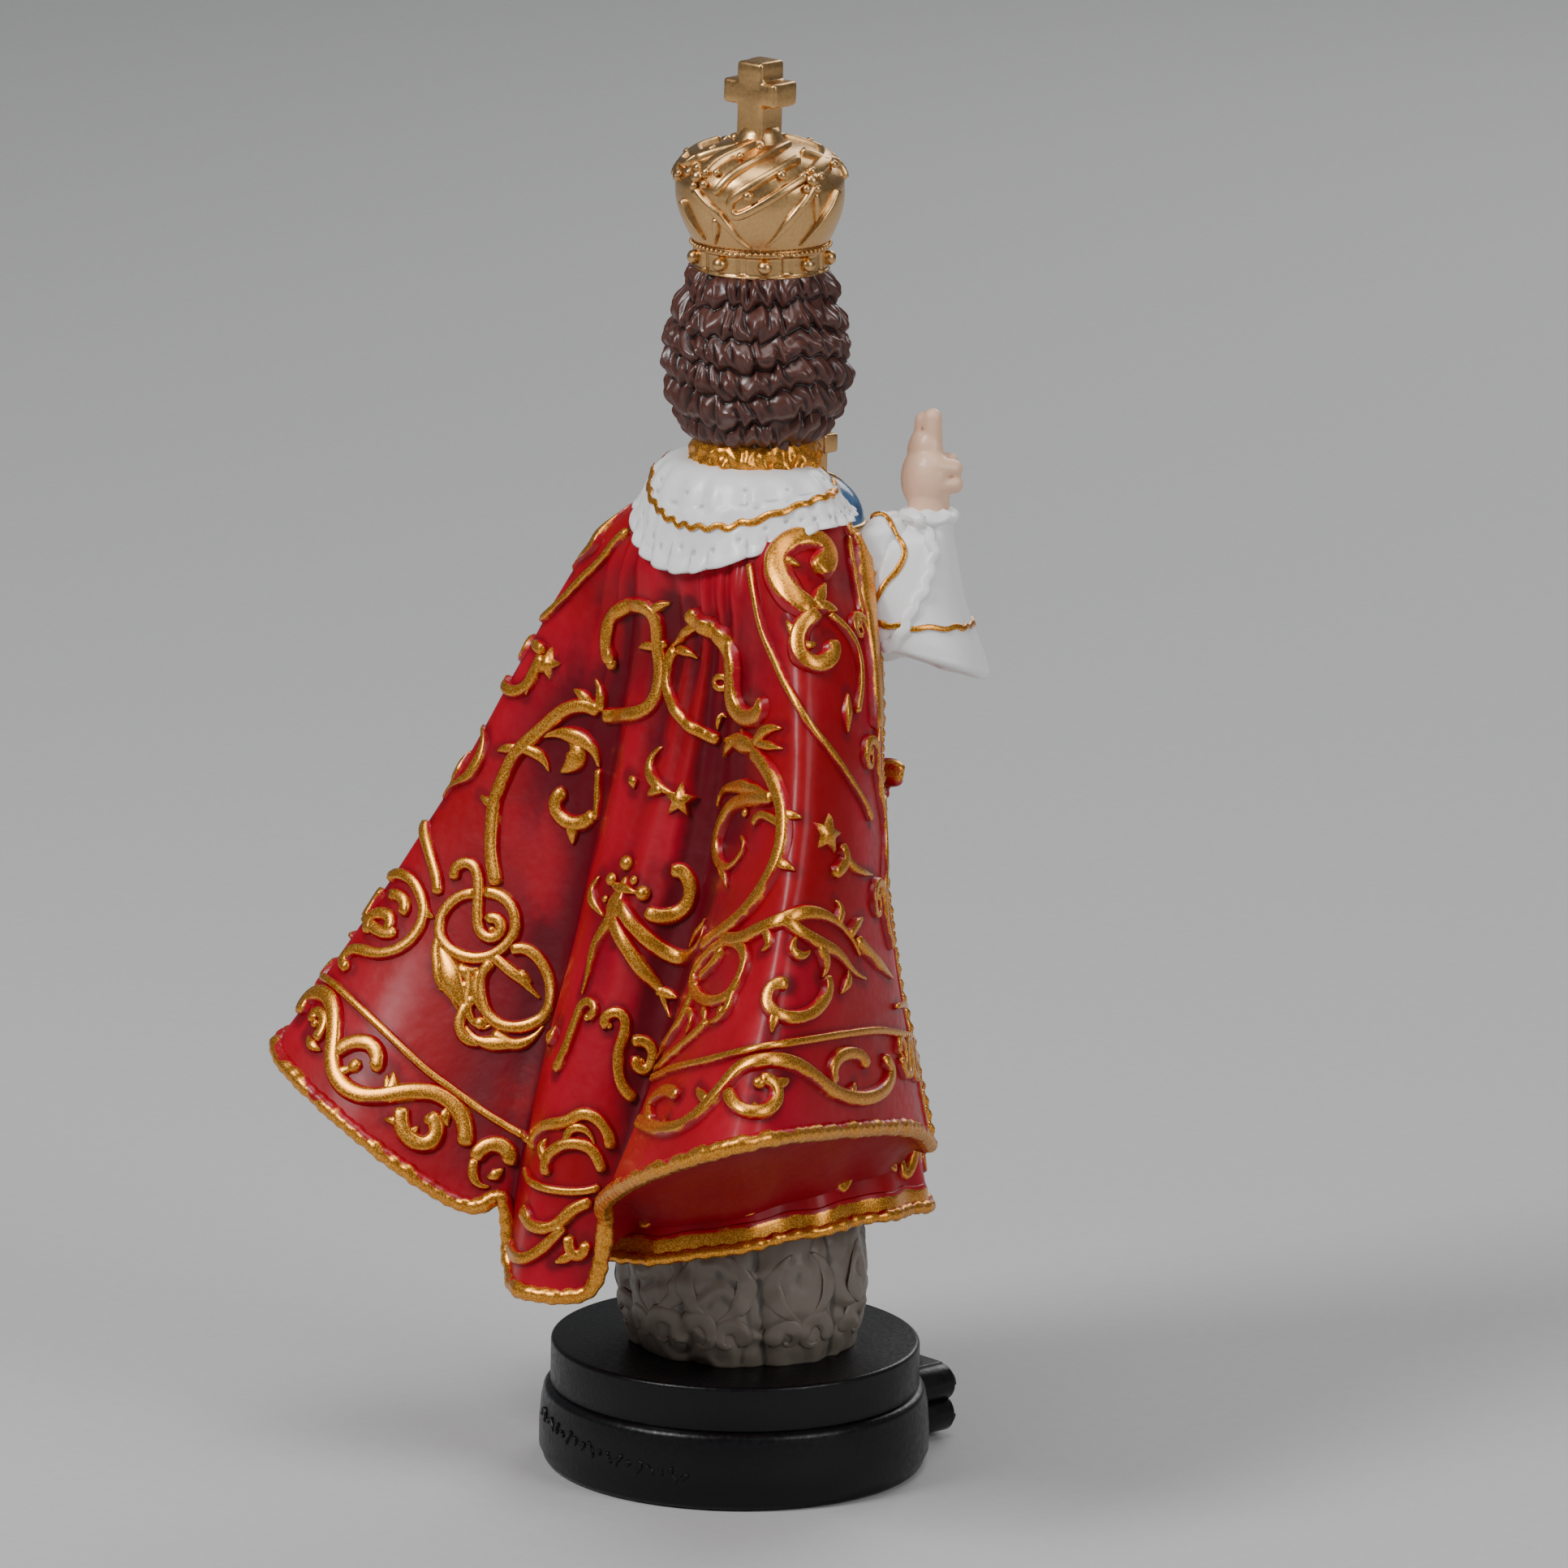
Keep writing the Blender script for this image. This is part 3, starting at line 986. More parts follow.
def skinHollows():  # how deep each place of the mantle's outside lies under its smoothed shape
    grid = asGrid(skin)
    soft = grid.copy()
    for _ in range(washSizes["smoothing"]):
        soft[1:-1] = (soft[:-2] + soft[2:] + 2 * soft[1:-1]) / 4
        soft[:, 1:-1] = (soft[:, :-2] + soft[:, 2:] + 2 * soft[:, 1:-1]) / 4
    normal = np.cross(np.gradient(grid, axis=1), np.gradient(grid, axis=0))
    normal /= np.linalg.norm(normal, axis=2, keepdims=True) + 1e-9
    normal *= np.sign((normal * (grid - grid.mean(axis=(0, 1)))).sum(axis=2).mean())
    return ((soft - grid) * normal).sum(axis=2).reshape(-1), pointTree(grid.reshape(-1, 3))


def washMantle(bm, trail):  # wine-dark wash in the folds and along the strokes
    s, layer = washSizes, floatLayer(bm, "wash")
    hollows, skinTree = skinHollows()
    strokes = pointTree([spot for spot, _ in trail])
    crowd = pointTree([spot for spot, _ in trail[::3]])
    for vert in bm.verts:
        _, near, gap = skinTree.find(vert.co)
        if gap >= s["skinReach"]:
            vert[layer] = s["lining"]
            continue
        hollow, crowded = hollows[near], len(crowd.find_range(vert.co, s["poolRadius"]))
        pooled = s["pool"] * ease(s["poolFrom"], s["poolTo"], crowded) * ease(*s["poolDepths"], hollow)
        _, stroke, reach = strokes.find(vert.co)
        rim = 1 - ease(trail[stroke][1] * 1.1, trail[stroke][1] * 1.2 + 1.4, reach)
        vert[layer] = max(s["folds"] * ease(s["from"], s["to"], hollow) + pooled, s["rim"] * rim)


washMantle(mantleMesh, scrollTrail)
finishPiece("mantle", mantleMesh, lacquer)

# gold edging of the mantle's hem and front edges

edgingSizes = {
    "radius": 1.2, "period": 1.9, "lump": 0.07, "frontRadius": 0.7, "frontPeriod": 2.1, "frontLump": 0.28,
    "inset": 5, "bandHalfWidth": 0.95, "bandHeight": 0.42, "bead": 0.62, "beadStep": 2.3, "beadProud": 0.3,
    "firstRow": 12, "sides": 12,
}


def addRoll(bm, path, radius, lump, period, twist=0.0):
    crest, sides = floatLayer(bm, "crest"), edgingSizes["sides"]
    path = evenPath(path, 0.5)
    count, lengths = len(path) - 1, pathLengths(path)
    cells = gridCells(bm, sides, count)
    for vert, i, k in cells:
        way, angle = wayAlong(path, k), tau * i / sides
        out = Vector((path[k].x, path[k].y, 0)).normalized()
        out = (out - way * out.dot(way)).normalized()
        wave = sin(tau * lengths[k] / period + twist * angle)
        rough = noise.noise(path[k] * 0.45 + Vector((cos(angle), sin(angle), 0)) * 0.3)
        size = radius * (1 + lump * wave + 0.2 * rough) * (0.02 if k in (0, count) else 1)
        vert.co = path[k] + out * (size * cos(angle)) + way.cross(out) * (size * sin(angle))
        vert[crest] = ease(-0.75, 0.45, 0.8 * cos(angle) + 0.55 * sin(angle) + 0.9 * rough)
    mergeCells(bm, cells)


def buildEdging():
    bm, s = bmesh.new(), edgingSizes
    hem = [spot - (spot - place(0, 0, spot.z)).normalized() * 0.35 + place(0, 0, 0.1) for spot in skin[-1]]
    addRoll(bm, hem, s["radius"], s["lump"], s["period"], 1.0)
    for side, inward in ((0, s["inset"]), (-1, -1 - s["inset"])):
        rows = skin[s["firstRow"]:]
        addRoll(bm, [line[side] for line in rows], s["frontRadius"], s["frontLump"], s["frontPeriod"], 1.0)
        inner = [line[inward] for line in rows]
        addRidge(bm, mantleTree, inner, s["bandHalfWidth"], s["bandHeight"])
        for spot in evenPath(inner, s["beadStep"]):
            addBallOn(bm, mantleTree, spot, s["beadProud"], s["bead"], 0.7)
    return bm


finishPiece("mantleEdging", buildEdging(), goldOnRed)

finishPiece("gown", gownMesh, lacquer)

gownGoldSizes = {
    "rollUp": 0.008, "rollRadius": 0.9, "bandUp": 0.021, "bandHalfWidth": 1.2, "lineUp": 0.135,
    "lineHalfWidth": 0.34, "curls": 22, "curlUp": 0.082, "curlHalfWidth": 0.62, "frontHalfWidth": 0.55,
    "stemHalfWidth": 0.6, "height": 0.7,
}


def buildGownGold():
    bm, s = bmesh.new(), gownGoldSizes
    turns = [tau * share for share in shares(240)]

    def stroke(spots, halfWidth, height=s["height"], taper="none"):
        addRidge(bm, gownTree, onto(gownTree, spots), halfWidth, height, taper)

    addRoll(bm, [onGown(turn, s["rollUp"], 0.1) for turn in turns], s["rollRadius"], 0.14, 2.6)
    stroke([onGown(turn, s["bandUp"] + 0.001 * sin(23 * turn)) for turn in turns], s["bandHalfWidth"], 0.2)
    stroke([onGown(turn, s["lineUp"]) for turn in turns], s["lineHalfWidth"], 0.4)
    for number in range(s["curls"]):
        middle, side = tau * (number + 0.5) / s["curls"], (-1) ** number
        stroke([onGown(middle + 0.115 * exp(-0.05 * k) * cos(0.42 * k + 2.6),
                       s["curlUp"] + side * 0.034 * exp(-0.06 * k) * sin(0.42 * k + 0.4))
                for k in range(17)], s["curlHalfWidth"], taper="tail")
    for side in (-1, 1):
        for level in range(4):
            base = 0.16 + 0.17 * level
            stroke([onGown(pi + side * (0.12 + 0.22 * sin(0.9 * t)), base + 0.035 * t * cos(0.35 * t))
                    for t in [0.25 * k for k in range(17)]], s["frontHalfWidth"], taper="tail")
    stroke([onGown(pi + 0.05 * sin(9 * t), 0.12 + 0.66 * t) for t in shares(50)], s["stemHalfWidth"])
    return bm


finishPiece("gownGold", buildGownGold(), goldOnRed)

# foot and plinth

footSizes = {
    "radius": [(0, 16), (4, 17), (9, 17.6), (15, 17.2), (22, 15.5)], "height": 22, "lobes": 9,
    "lobeDepth": 1.0, "shift": (0.7, -0.7), "spiralUp": 4.2, "spiralHalfWidth": 0.95, "spiralHeight": 0.36,
    "brimUp": 6.4, "brimHalfWidth": 1.1, "brimHeight": 0.26, "columns": 300, "rows": 84,
}


def onFoot(turn, up):
    s, circle = footSizes, circleAt(turn)
    lobe = abs(cos(s["lobes"] * turn / 2 + up * 0.03))
    cloud = noise.noise(circle * 3.2 + Vector((0, 0, up * 0.16)))
    radius = along(s["radius"], up) - s["lobeDepth"] * 1.15 * (1 - lobe ** 0.6)
    radius += 0.5 * cloud + 0.22 * sin(9 * cloud + 0.55 * up)
    radius += 0.12 * noise.noise(circle * 12 + Vector((0, 0, up * 0.6)))
    return around(turn, radius, radius, up, *s["shift"])


def buildFoot():
    s = footSizes
    bm = gridBody(s["columns"], s["rows"], lambda u, v: onFoot(tau * u, s["height"] * v))
    tree = surfaceTree(bm)
    for k in range(s["lobes"]):
        middle = tau * k / s["lobes"] + 0.1 * sin(5 * k)
        for side in (-1, 1):
            large = 2.7 + 0.5 * sin(3.1 * k + side)
            spiral = []
            for t in [0.2 * i for i in range(30)]:
                size = large * exp(-0.2 * t)
                turn = middle + side * (0.15 + (size * cos(t) - 0.6) / 17)
                spiral.append(onFoot(turn, s["spiralUp"] + size * sin(t) * 1.15))
            addRidge(bm, tree, onto(tree, spiral), s["spiralHalfWidth"], s["spiralHeight"], "tail")
            brim = [onFoot(middle + side * 0.27 * sin(2.9 * t) ** 0.8, s["brimUp"] + 10 * t)
                    for t in shares(16)]
            addRidge(bm, tree, onto(tree, brim), s["brimHalfWidth"], s["brimHeight"], "both")
    markHollows(bm, 3, 7)
    return bm


finishPiece("carvedFoot", buildFoot(), stonePaint)

plinthSizes = {
    "radius": 27.5, "bodyHeight": 11.25, "bulge": 0.5, "stepRadius": 26, "stepHeight": 6.5, "edge": 1.25,
    "stepBevel": 0.6, "steps": 160, "plaqueWidth": 25, "plaqueProud": 4, "plaqueMargin": 0.75,
    "coil": 2.1, "wave": (6.2, 1.6), "strokes": 19, "strokeTurns": (-31, 34), "strokeUps": (7.9, 4.9),
}
plinthFoot = -plinthSizes["bodyHeight"] - plinthSizes["stepHeight"]


def spunProfile(bm, profile, steps):
    verts = [bm.verts.new((radius, 0, up)) for radius, up in profile]
    edges = [bm.edges.new(pair) for pair in zip(verts, verts[1:])]
    bmesh.ops.spin(bm, geom=verts + edges, cent=(0, 0, 0), axis=(0, 0, 1), dvec=(0, 0, 0),
                   angle=tau, steps=steps, use_merge=True, use_duplicate=False)
    bmesh.ops.remove_doubles(bm, verts=bm.verts, dist=0.0005)


def buildPlinth():
    s, bm, profile = plinthSizes, bmesh.new(), [(0, plinthFoot)]
    radius, edge, step, bevel = s["radius"] - s["bulge"], s["edge"], s["stepRadius"], s["stepBevel"]
    for centre, start in ((edge, -90), (s["bodyHeight"] - edge, 0)):
        for angle in [radians(start + 90 * t) for t in shares(8)]:
            profile.append((radius - edge + edge * cos(angle), plinthFoot + centre + edge * sin(angle)))
        if start < 0:
            profile += [(s["radius"] - s["bulge"] * (0.55 if abs(t - 0.5) > 0.3 else 0.0),
                         plinthFoot + s["bodyHeight"] * t) for t in (0.2, 0.5, 0.8)]
    top = -s["stepHeight"]
    profile += [(step - 0.1, top), (step, top + 0.25), (step, -bevel)]
    for angle in [radians(90 * t) for t in shares(5)[1:]]:
        profile.append((step - bevel * (1 - cos(angle)), -bevel * (1 - sin(angle))))
    spunProfile(bm, profile + [(0, 0)], s["steps"])
    floatLayer(bm, "wash")
    return bm


def buildPlaque():
    s, bm = plinthSizes, bmesh.new()
    height = s["bodyHeight"] - 2 * s["plaqueMargin"]
    middleUp = -s["stepHeight"] - s["bodyHeight"] / 2
    roll, front, halfWidth = 0.27 * height, -s["radius"] - s["plaqueProud"], s["plaqueWidth"] / 2
    reach = s["plaqueProud"] + s["radius"] - sqrt(s["radius"] ** 2 - halfWidth ** 2) + 0.6
    addBox(bm, (0, front + reach / 2, middleUp), ((halfWidth - 1.2 * roll) * 2, reach, height))
    corners = [(side, level) for side in (-1, 1) for level in (-1, 1)]

    def corner(side, level, back):
        return Vector((side * (halfWidth - roll), back, middleUp + level * (height / 2 - roll)))

    for side, level in corners:
        spot = corner(side, level, front + reach / 2 + 0.45)
        matrix = Matrix.Translation(spot) @ Matrix.Rotation(pi / 2, 4, "X")
        bmesh.ops.create_cone(bm, cap_ends=True, segments=40, radius1=roll, radius2=roll, depth=reach,
                              matrix=matrix)
    bevelEdges(bm, [edge for edge in bm.edges if edge.is_manifold and edge.calc_face_angle() > 1], 0.45)
    face = [f for f in bm.faces if f.normal.y < -0.9 and f.calc_area() > 40]
    inset = bmesh.ops.inset_region(bm, faces=face, thickness=0.9, depth=-0.35)["faces"]
    bevelEdges(bm, list({e for f in inset for e in f.edges}), 0.15, 2)
    tree = surfaceTree(bm)
    long, tall = s["wave"]
    for side, level in corners:
        centre = corner(side, level, front + 0.45)
        coil = [centre + Vector((side * cos(t), 0, level * sin(t))) * (s["coil"] * exp(-0.14 * t))
                for t in [0.25 * i for i in range(44)]]
        addRidge(bm, tree, coil, 0.28, 0.3, "tail", 0.35)
        curve = [Vector((side * long * t, front + 0.35, middleUp + level * tall * sin(2.6 * t)))
                 for t in shares(24)]
        addRidge(bm, tree, curve, 0.45, 0.45, "tail", 0.4)
    return bm


def buildPlinthStrokes():  # one slanting row of shallow strokes, no letters
    s, bm, wall = plinthSizes, bmesh.new(), bmesh.new()
    low, high, rim = plinthFoot + 0.5, plinthFoot + s["bodyHeight"] - 0.5, s["radius"] - 0.25
    spunProfile(wall, [(rim, low), (s["radius"], (low + high) / 2), (rim, high)], s["steps"])
    tree = surfaceTree(wall)
    for k, share in enumerate(shares(s["strokes"] - 1)):
        turn, up = radians(mixed(*s["strokeTurns"], share)), plinthFoot + mixed(*s["strokeUps"], share)
        lean, tall = 0.012 * (-1) ** k, 0.8 + 0.4 * sin(2.3 * k)
        path = [around(turn + lean * t + 0.012 * sin(3 * t + k), s["radius"], s["radius"], up + tall * t)
                for t in (-1, -0.5, 0, 0.5, 1)]
        addRidge(bm, tree, onto(tree, path), 0.24, 0.28, "none", 0.3)
    wall.free()
    return bm


finishPiece("plinthBody", buildPlinth(), blackPaint, "plinth")
finishPiece("plinthCartouche", buildPlaque(), blackPaint, "plinth")
finishPiece("plinthStrokes", buildPlinthStrokes(), blackPaint, "plinth")

# collar and neck band

collarSizes = {
    "halfWidth": 17.6, "depthBehind": 14.6, "depthInFront": 11.2, "upBehind": 112, "upSide": 119.5,
    "thickness": 1.3, "scallops": 27, "scallopDepth": 0.8, "rise": 1.8, "riseInFront": 1.3, "opening": 150,
    "goldLine": 0.54, "goldDip": 0.19, "goldDipTurn": 0.55, "goldHalfWidth": 0.4, "goldHeight": 0.34,
    "dimples": 33, "dimpleRows": (0.84, 0.42), "dimpleDepth": 0.34, "dimpleRadius": 0.42, "columns": 600,
    "rows": 72, "underRows": 10, "neckRise": 3.2, "bandRadius": 8.4, "bandFrom": 123.6, "bandTo": 129.8,
    "bandShift": (0.5, -0.5),
}


def collarRelief(turn, share, circle, wander):  # how far folds, rim and dimples stand out
    s = collarSizes
    band = ease(s["goldLine"], s["goldLine"] + 0.08, share)
    lift = 0.28 * sin(17 * turn + 3 * wander) * ease(0.15, 0.5, share) * (1 - band)
    lift += band * (0.4 * noise.noise(circle * 7 + Vector((0, 0, share * 5))) + 0.15)
    lift += 0.3 * ease(0.9, 0.98, share)
    number, part = divmod(turn * s["dimples"] / tau, 1)
    for row, centre in enumerate(s["dimpleRows"]):
        wobble = 0.3 * sin(7.3 * number + 2 * row)
        gap = hypot((part - 0.5 + wobble) * 100 / s["dimples"], (share - centre - 0.12 * wobble) * 17)
        if row == 0 or number % 3 == 0:
            lift -= s["dimpleDepth"] * exp(-(gap / s["dimpleRadius"]) ** 2)
    return lift


def onCollar(turn, share, detail=True):
    s, circle, angle = collarSizes, circleAt(turn), abs(signedTurn(turn))
    depth = s["depthBehind"] if cos(turn) > 0 else s["depthInFront"]
    rise = mixed(s["rise"], s["riseInFront"], ease(1.4, 2.4, angle))
    wander = noise.noise(circle * 2.7 + Vector((0, 0, 3)))
    scallop = abs(sin(0.5 * s["scallops"] * turn + 2.2 * wander)) ** 0.8 - 0.5
    scallop *= s["scallopDepth"] * ease(0.8, 1, share)
    edgeUp = mixed(s["upBehind"], s["upSide"], ease(0, pi / 2, angle))
    up = mixed(mantleSizes["neckUp"] + s["neckRise"], edgeUp, share ** rise)
    reach = share ** (1 / rise) * (1 - ease(s["opening"], s["opening"] + 12, degrees(angle)))
    halfWidth = mixed(s["bandRadius"] - 1, s["halfWidth"], reach) + scallop
    halfDepth = mixed(s["bandRadius"] - 1, depth, reach) + scallop
    lift = collarRelief(turn, share, circle, wander) if detail else 0.0
    return around(turn, halfWidth + lift * 0.75, halfDepth + lift * 0.75, up + lift * 0.65)


def buildCollar():
    s = collarSizes
    rows, under = s["rows"], s["underRows"]

    def shape(u, v):
        row, turn = round(v * (rows + under)), tau * u
        if row <= rows:
            return onCollar(turn, row / rows)
        past = (row - rows) / under
        spot = onCollar(turn, 1 - past, False)
        inset = 1 - (s["thickness"] + 2.5 * past) / hypot(spot.x, spot.y)
        return Vector((spot.x * inset, spot.y * inset, spot.z - s["thickness"] - 2 * past))

    bm = gridBody(s["columns"], rows + under, shape)
    markHollows(bm, 2, 9)
    return bm


collarMesh = buildCollar()
collarTree = surfaceTree(collarMesh)


def onBand(u, v):  # the neck band, u around it and v up it
    turn = tau * u
    rough = noise.noise((sin(turn) * 7, cos(turn) * 7, v * 4))
    radius = collarSizes["bandRadius"] - 0.1 + (0.9 + 0.9 * rough) * sin(pi * v)
    up = mixed(collarSizes["bandFrom"], collarSizes["bandTo"], v)
    return around(turn, radius, radius, up, *collarSizes["bandShift"])


def buildCollarGold():
    bm, s = bmesh.new(), collarSizes
    limit = radians(s["opening"] - 4)
    line = [onCollar(turn, s["goldLine"] + s["goldDip"] * cos(turn - s["goldDipTurn"])
                     + 0.016 * sin(31 * turn + 3 * sin(3 * turn)))
            for turn in [mixed(-limit, limit, share) for share in shares(260)]]
    addRidge(bm, collarTree, onto(collarTree, line), s["goldHalfWidth"], s["goldHeight"])
    band = gridBody(240, 24, onBand)
    layer = floatLayer(band, "crest")
    for vert in band.verts:
        vert[layer] = 1.0
    joinInto(bm, band)
    for side in (-1, 1):
        trim = [onCollar(side * (limit - 0.03), 0.1 + 0.72 * share) for share in shares(20)]
        addRidge(bm, collarTree, trim, 0.85, 0.55, "tail")
    return bm


finishPiece("collarGold", buildCollarGold(), goldOnWhite)
finishPiece("collar", collarMesh, whitePaint)

# head, hair and crown, drawn straight and then turned together

headSizes = {
    "up": 141, "halfWidth": 9.4, "halfDepth": 10.8, "halfHeight": 13, "right": 0.6, "back": -2.2,
    "columns": 200, "rows": 150, "turn": 9, "eyeAside": 3.5, "eyeUp": 0.75,
}
facePaints = [("blush", "blush"), ("lips", "lips"), ("white", "eyeWhite"), ("iris", "iris"),
              ("line", "eyeLine")]  # attribute, finish
headTurn = Matrix.Rotation(radians(headSizes["turn"]), 4, "Z")


def bump(x, z, atX, atZ, wide, tall):
    return exp(-((x - atX) / wide) ** 2 - ((z - atZ) / tall) ** 2)


faceForms = [  # height, place across and up, width, tallness: those on both sides, then the middle ones
    [(0.35, 3.4, 3.4, 2.4, 0.9), (-1.15, 3.5, 0.9, 2.1, 1.5), (0.85, 3.6, 0.75, 1.35, 0.95),
     (0.22, 3.6, 1.75, 1.7, 0.28), (0.18, 3.6, -0.3, 1.5, 0.25), (0.6, 1.25, -2.9, 0.65, 0.6),
     (0.85, 4.6, -3.2, 2.8, 2.6), (0.3, 0.75, -5.0, 0.9, 0.38)],
    [(0.9, 0, -0.2, 0.85, 2.2), (1.35, 0, -2.5, 1.05, 1.05), (0.75, 0, -5.4, 2.3, 1.5),
     (0.34, 0, -6.05, 1.35, 0.45), (-0.42, 0, -5.52, 2.1, 0.2), (-0.28, 0, -7.3, 1.7, 0.6),
     (1.0, 0, -9.3, 2.6, 1.7)],
]


def faceRelief(x, z):  # how far the face stands out at a place across and up from the head's middle
    return sum(height * bump(across, z, *form)
               for across, forms in zip((abs(x), x), faceForms) for height, *form in forms)


def onHead(turn, tip):
    s = headSizes
    up = s["up"] + s["halfHeight"] * sin(tip)
    fromFront = signedTurn(turn + pi) / pi
    spread = pi + pi * copysign(abs(fromFront) ** 1.4, fromFront)
    lateral = s["halfWidth"] * cos(tip) * sin(spread)
    depth = s["halfDepth"] * cos(tip) * cos(spread)
    if depth < 0:
        depth -= faceRelief(lateral, up - s["up"])
    return place(s["right"] + lateral, s["back"] + depth, up)


def headPaint():
    material, tree, shader = newMaterial("facePaint")
    broad, fine = noiseAt(tree, 130, 3), noiseAt(tree, 1500, 3)
    skinColour = blend(tree, ramp(tree, broad, 0.35, 0.7), "skin", "warmSkin")
    for name, finish in facePaints:
        skinColour = blend(tree, attribute(tree, name), skinColour, finish)
    feed(tree, shader, {"Base Color": skinColour, "Roughness": ramp(tree, fine, 0.3, 0.7, 0.34, 0.46)})
    bumpFrom(tree, shader, (broad, 0.00006), (fine, 0.00002))
    return material


def buildHead():
    s = headSizes
    bm = gridBody(s["columns"], s["rows"], lambda u, v: onHead(tau * u, mixed(-0.995, 0.995, v) * pi / 2))
    layers = [floatLayer(bm, name) for name, _ in facePaints]
    for vert in bm.verts:
        x, z = -vert.co.x - s["right"], vert.co.z - s["up"]
        if vert.co.y > s["back"]:
            continue
        side = abs(x)
        aside, above = side - s["eyeAside"], z - s["eyeUp"]
        eye = hypot((side - 3.6) / 1.35, (above - 0.1 * (side - 3.6)) / 0.72)
        iris = hypot(aside, above)
        lid = abs(z - (1.5 - 0.28 * aside ** 2))
        brow = abs(z - (3.6 - 0.13 * (side - 3.4) ** 2))
        mouth = abs(z + 5.52 - 0.05 * x * x)
        values = (
            0.5 * bump(side, z, 4.8, -3.4, 2.0, 1.8),
            ease(1.15, 0.75, hypot(x / 1.9, (z + 5.55) / 0.85)),
            ease(1.1, 0.85, eye),
            ease(0.78, 0.62, iris) * ease(1.15, 0.95, eye),
            max(ease(0.26, 0.1, lid) * ease(2.0, 1.5, abs(side - 3.6)),
                0.8 * ease(0.36, 0.12, brow) * ease(2.5, 1.9, abs(aside)),
                0.75 * ease(0.16, 0.06, mouth) * ease(2.0, 1.5, side),
                ease(0.34, 0.26, iris)),
        )
        for layer, value in zip(layers, values):
            vert[layer] = value
    bmesh.ops.transform(bm, matrix=headTurn, verts=bm.verts)
    return bm


finishPiece("head", buildHead(), headPaint())

hairSizes = {
    "radius": [(128.3, 7), (130.7, 9.8), (134.7, 12), (139.5, 12.9), (144.5, 12.5), (149, 11), (153.5, 9.4)],
    "shift": (0.75, -0.6), "firstTier": 125.4, "tierHeight": 4.1, "crimps": 26, "crimpDepth": 0.62,
    "tierDepth": 0.6, "crimpWave": 0.42, "faceEdge": 118, "faceFade": 18, "faceTop": (147, 150),
    "faceDepth": 0.45, "columns": 540, "rows": 165,
}


def onHair(turn, up):
    s, circle = hairSizes, circleAt(turn)
    drift = noise.noise(circle * 1.9 + Vector((0, 0, up * 0.09)))
    wander = noise.noise(circle * 4.5 + Vector((3, 0, up * 0.16)))
    slope = 0.75 * sin(3 * turn + 1.3) + 1.3 * drift
    spot = (up + slope + 0.35 * wander - s["firstTier"]) / s["tierHeight"]
    spot += s["crimpWave"] / s["tierHeight"] * sin(s["crimps"] * turn + 4 * wander)
    number, part = divmod(spot, 1)
    roll = sin(pi * part ** 0.85) ** 0.8
    slant = (-1) ** number * 0.8 * (part - 0.5)
    beat = s["crimps"] * turn * (1 + 0.04 * sin(2 * turn)) + 2.3 * number + 4.5 * wander + 3 * drift + slant
    relief = s["tierDepth"] * 2 * (roll - 0.62) + s["crimpDepth"] * 0.5 * cos(beat) * (0.35 + 0.65 * roll)
    relief += 0.4 * noise.noise(circle * 6 + Vector((0, 0, up * 0.5)))
    relief += 0.16 * sin(2 * beat + 9 * part) * roll
    opening = ease(s["faceEdge"], s["faceEdge"] + s["faceFade"], abs(degrees(signedTurn(turn))))
    opening *= 1 - ease(*s["faceTop"], up)
    radius = (along(s["radius"], up) + relief) * (1 - s["faceDepth"] * opening)
    return around(turn, radius, radius, up, *s["shift"])


def buildHair():
    s = hairSizes
    bottom, top = s["radius"][0][0], s["radius"][-1][0]
    bm = gridBody(s["columns"], s["rows"], lambda u, v: onHair(tau * u, mixed(bottom, top, v)))
    markHollows(bm, 3, 5)
    bmesh.ops.transform(bm, matrix=headTurn, verts=bm.verts)
    return bm


finishPiece("hair", buildHair(), hairPaint)

crownSizes = {
    "up": 153.25, "shift": (0.75, -0.8), "lean": (-0.022, 0.022), "bandRadius": 9.3, "bandHeight": 3.5,
    "studs": 9, "studTurn": 2.4, "stud": 1.05, "beads": 72, "bead": 0.3, "columns": 240, "rows": 110,
    "dome": [(3.5, 9.2), (6, 10.5), (8.5, 11.4), (11, 11.7), (13.6, 11.3), (15.9, 9.1), (17.3, 5.6),
             (17.8, 3)],
    "strokeHeight": 0.75, "ballProud": 0.55, "stem": 4.4, "depth": 5, "span": 9.2, "armHeight": 3.4,
    "armUp": 176.2, "top": 182.25, "crossBevel": 0.5,
    "skirt": [(0, -0.6), (4.6, -0.6), (3.6, 0.8), (2.9, 2.2), (2.6, 3), (0, 3)],
}
crownDomeTop = crownSizes["dome"][-1][0]


def crownAxis(up):
    s = crownSizes
    return s["shift"][0] + s["lean"][0] * up, s["shift"][1] + s["lean"][1] * up


def onCrown(radius, turn, up):
    return around(turn, radius, radius, crownSizes["up"] + up, *crownAxis(up))


def crownRadius(up, turn):
    s = crownSizes
    band = s["bandHeight"]
    if up < 0:
        return s["bandRadius"] - 0.3 + up
    if up < band:
        phase = (degrees(turn) - s["studTurn"] + 20) % 40 - 20
        notch = 0.42 * ease(4.6, 3.4, abs(abs(phase) - 20)) * ease(0.3, 0.7, up) * ease(band, band - 0.6, up)
        edge = 0.35 * ease(0.55, 0.1, up) + 0.45 * ease(band - 0.7, band - 0.3, up)
        return s["bandRadius"] - 0.1 + edge - notch
    if up < band + 0.5:
        return mixed(s["bandRadius"] + 0.25, s["dome"][0][1] - 0.15, ease(band, band + 0.5, up))
    return along(s["dome"], up)


